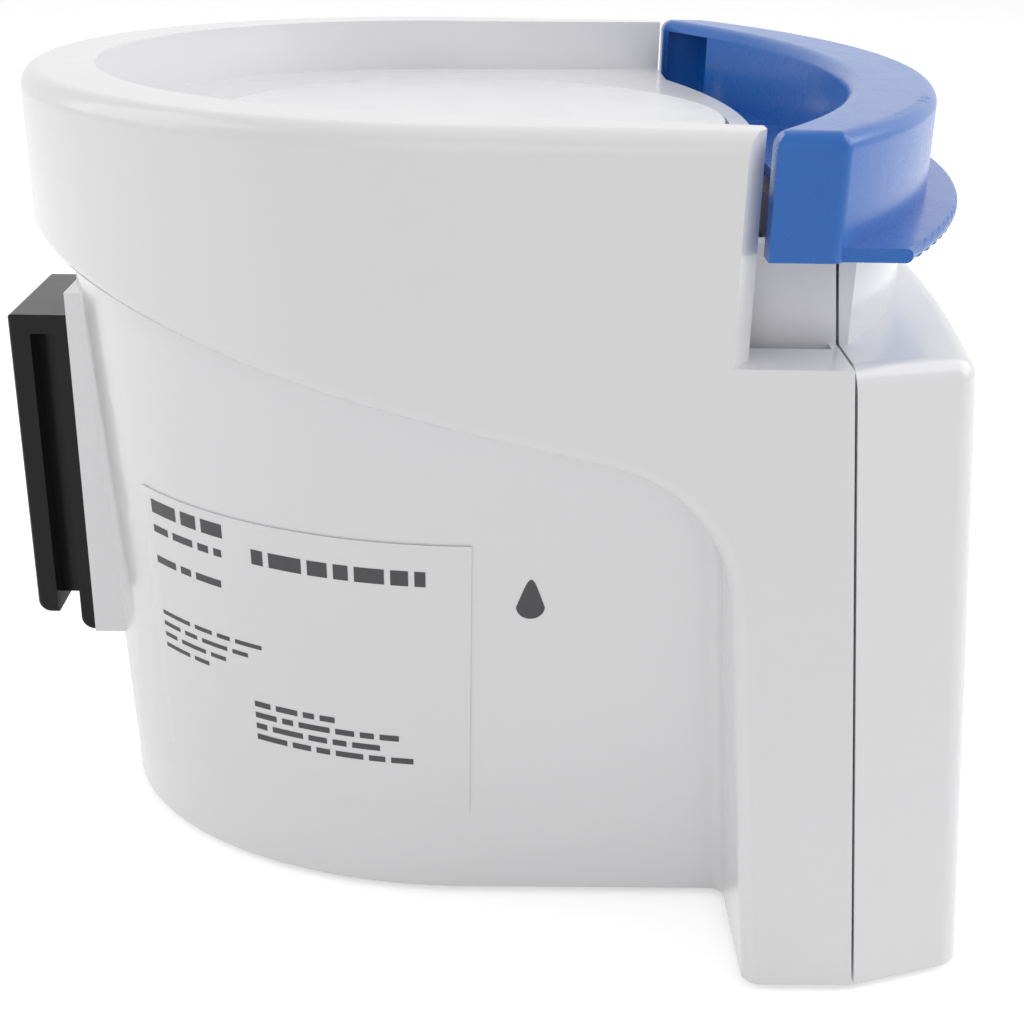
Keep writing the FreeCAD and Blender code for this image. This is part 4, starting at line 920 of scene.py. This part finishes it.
# ---------------------------------------------------------------------------
# Floor, lamps and camera
# ---------------------------------------------------------------------------
@dataclass(frozen=True)
class Softbox:
    """A square soft lamp.

    Attributes:
        name: Its name.
        place: Where it hangs, in metres.
        aim: What it faces, in metres.
        side: Length of its side in metres.
        power: Power in watts.
    """

    name: str
    place: tuple[float, float, float]
    aim: tuple[float, float, float]
    side: float
    power: float

    def hang(self) -> None:
        """Add the lamp to the scene."""
        light = bpy.data.lights.new(self.name, "AREA")
        light.shape = "SQUARE"
        light.size = self.side
        light.energy = self.power
        lamp = bpy.data.objects.new(self.name, light)
        lamp.location = self.place
        lamp.rotation_euler = (Vector(self.aim) - Vector(self.place)).to_track_quat("-Z", "Y").to_euler()
        bpy.context.scene.collection.objects.link(lamp)


@dataclass
class Studio:
    """A pale floor, soft lamps and one camera.

    Attributes:
        eye: Place of the camera in metres.
        yaw: Turn of the view to its left from +X, in degrees.
        pitch: Tilt of the view below the horizon, in degrees.
        roll: Turn of the camera about its view, in degrees.
        lens: Focal length in millimetres on a 36 mm sensor.
        floor_side: Side of the floor in metres.
        sky: Strength of the even light all round.
        floor_glow: Emission that lifts the floor to white where the camera sees it unshaded.
        lamps: The soft lamps.
    """

    eye: tuple[float, float, float] = (-0.2581, -0.0024, 0.1583)
    yaw: float = -1.2
    pitch: float = 23.0
    roll: float = 1.2
    lens: float = 54.507
    floor_side: float = 30.0
    sky: float = 0.50
    floor_glow: float = 0.46
    lamps: tuple[Softbox, ...] = (
        Softbox("front_softbox", (0.10, -0.85, 0.75), (0.0, -0.02, 0.07), 0.9, 6.0),
        Softbox("rear_softbox", (0.05, 0.85, 0.60), (0.0, 0.02, 0.07), 0.8, 2.5),
        Softbox("side_softbox", (-1.10, 0.15, 0.45), (0.0, 0.0, 0.05), 0.8, 1.3),
    )

    def camera(self) -> None:
        """Place the camera."""
        yaw, pitch, roll = (math.radians(angle) for angle in (self.yaw, self.pitch, self.roll))
        ahead = Vector((math.cos(pitch) * math.cos(yaw), math.cos(pitch) * math.sin(yaw), -math.sin(pitch)))
        level = Vector((math.sin(yaw), -math.cos(yaw), 0.0))
        above = level.cross(ahead)
        right = level * math.cos(roll) + above * math.sin(roll)
        up = above * math.cos(roll) - level * math.sin(roll)
        data = bpy.data.cameras.new("camera")
        data.lens = self.lens
        data.sensor_width = 36.0
        data.clip_start = 0.01
        data.clip_end = 100.0
        made = bpy.data.objects.new("camera", data)
        turn = Matrix((right, up, -ahead)).transposed().to_4x4()
        made.matrix_world = Matrix.Translation(Vector(self.eye)) @ turn
        bpy.context.scene.collection.objects.link(made)
        bpy.context.scene.camera = made

    def seen(self, tree: bpy.types.NodeTree) -> bpy.types.NodeSocket:
        """1 for rays from the camera, a mirror or glass, which see a white background."""
        path = add(tree, "ShaderNodeLightPath")
        both = add(tree, "ShaderNodeMath",
                   {0: path.outputs["Is Camera Ray"], 1: path.outputs["Is Glossy Ray"]}, operation="ADD")
        total = add(tree, "ShaderNodeMath", {0: both.outputs[0], 1: path.outputs["Is Transmission Ray"]},
                    operation="ADD", use_clamp=True)
        return total.outputs[0]

    def floor(self) -> None:
        """Lay the floor, which the camera sees as white but for the shadow on it."""
        mesh = bmesh.new()
        bmesh.ops.create_grid(mesh, x_segments=1, y_segments=1, size=self.floor_side / 2)
        data = bpy.data.meshes.new("studio_floor")
        mesh.to_mesh(data)
        mesh.free()
        plane = bpy.data.objects.new("studio_floor", data)
        bpy.context.scene.collection.objects.link(plane)
        material = bpy.data.materials.new("matt_white_paper")
        material.use_nodes = True
        tree = material.node_tree
        shader = tree.nodes["Principled BSDF"]
        shader.inputs["Base Color"].default_value = linear("#F2F2F2")
        shader.inputs["Roughness"].default_value = 0.9
        shader.inputs["Emission Color"].default_value = (1, 1, 1, 1)
        lift = add(tree, "ShaderNodeMath", {0: self.seen(tree)}, operation="MULTIPLY",
                   values={1: self.floor_glow})
        tree.links.new(lift.outputs[0], shader.inputs["Emission Strength"])
        data.materials.append(material)

    def sky_light(self) -> None:
        """Light the scene evenly and show white behind it."""
        world = bpy.data.worlds.new("studio_world")
        bpy.context.scene.world = world
        world.use_nodes = True
        tree = world.node_tree
        background = tree.nodes["Background"]
        background.inputs["Color"].default_value = (1, 1, 1, 1)
        level = add(tree, "ShaderNodeMapRange", {"Value": self.seen(tree)},
                    values={"To Min": self.sky, "To Max": 1.0})
        tree.links.new(level.outputs["Result"], background.inputs["Strength"])

    def build(self) -> None:
        """Set the stage."""
        bpy.context.scene.view_settings.view_transform = "Standard"
        self.camera()
        self.floor()
        self.sky_light()
        for lamp in self.lamps:
            lamp.hang()


def main() -> None:
    """Build the studio and every sub-assembly."""
    logging.basicConfig(level=logging.INFO, format="%(name)s: %(message)s")
    for part in (Studio(), CasePieces(), LabelPieces(), PanelPieces(), GuardPieces(), HeaterPieces(),
                 BoardPieces()):
        part.build()
        LOG.info("%s done", type(part).__name__)


if __name__ == "__main__":
    main()
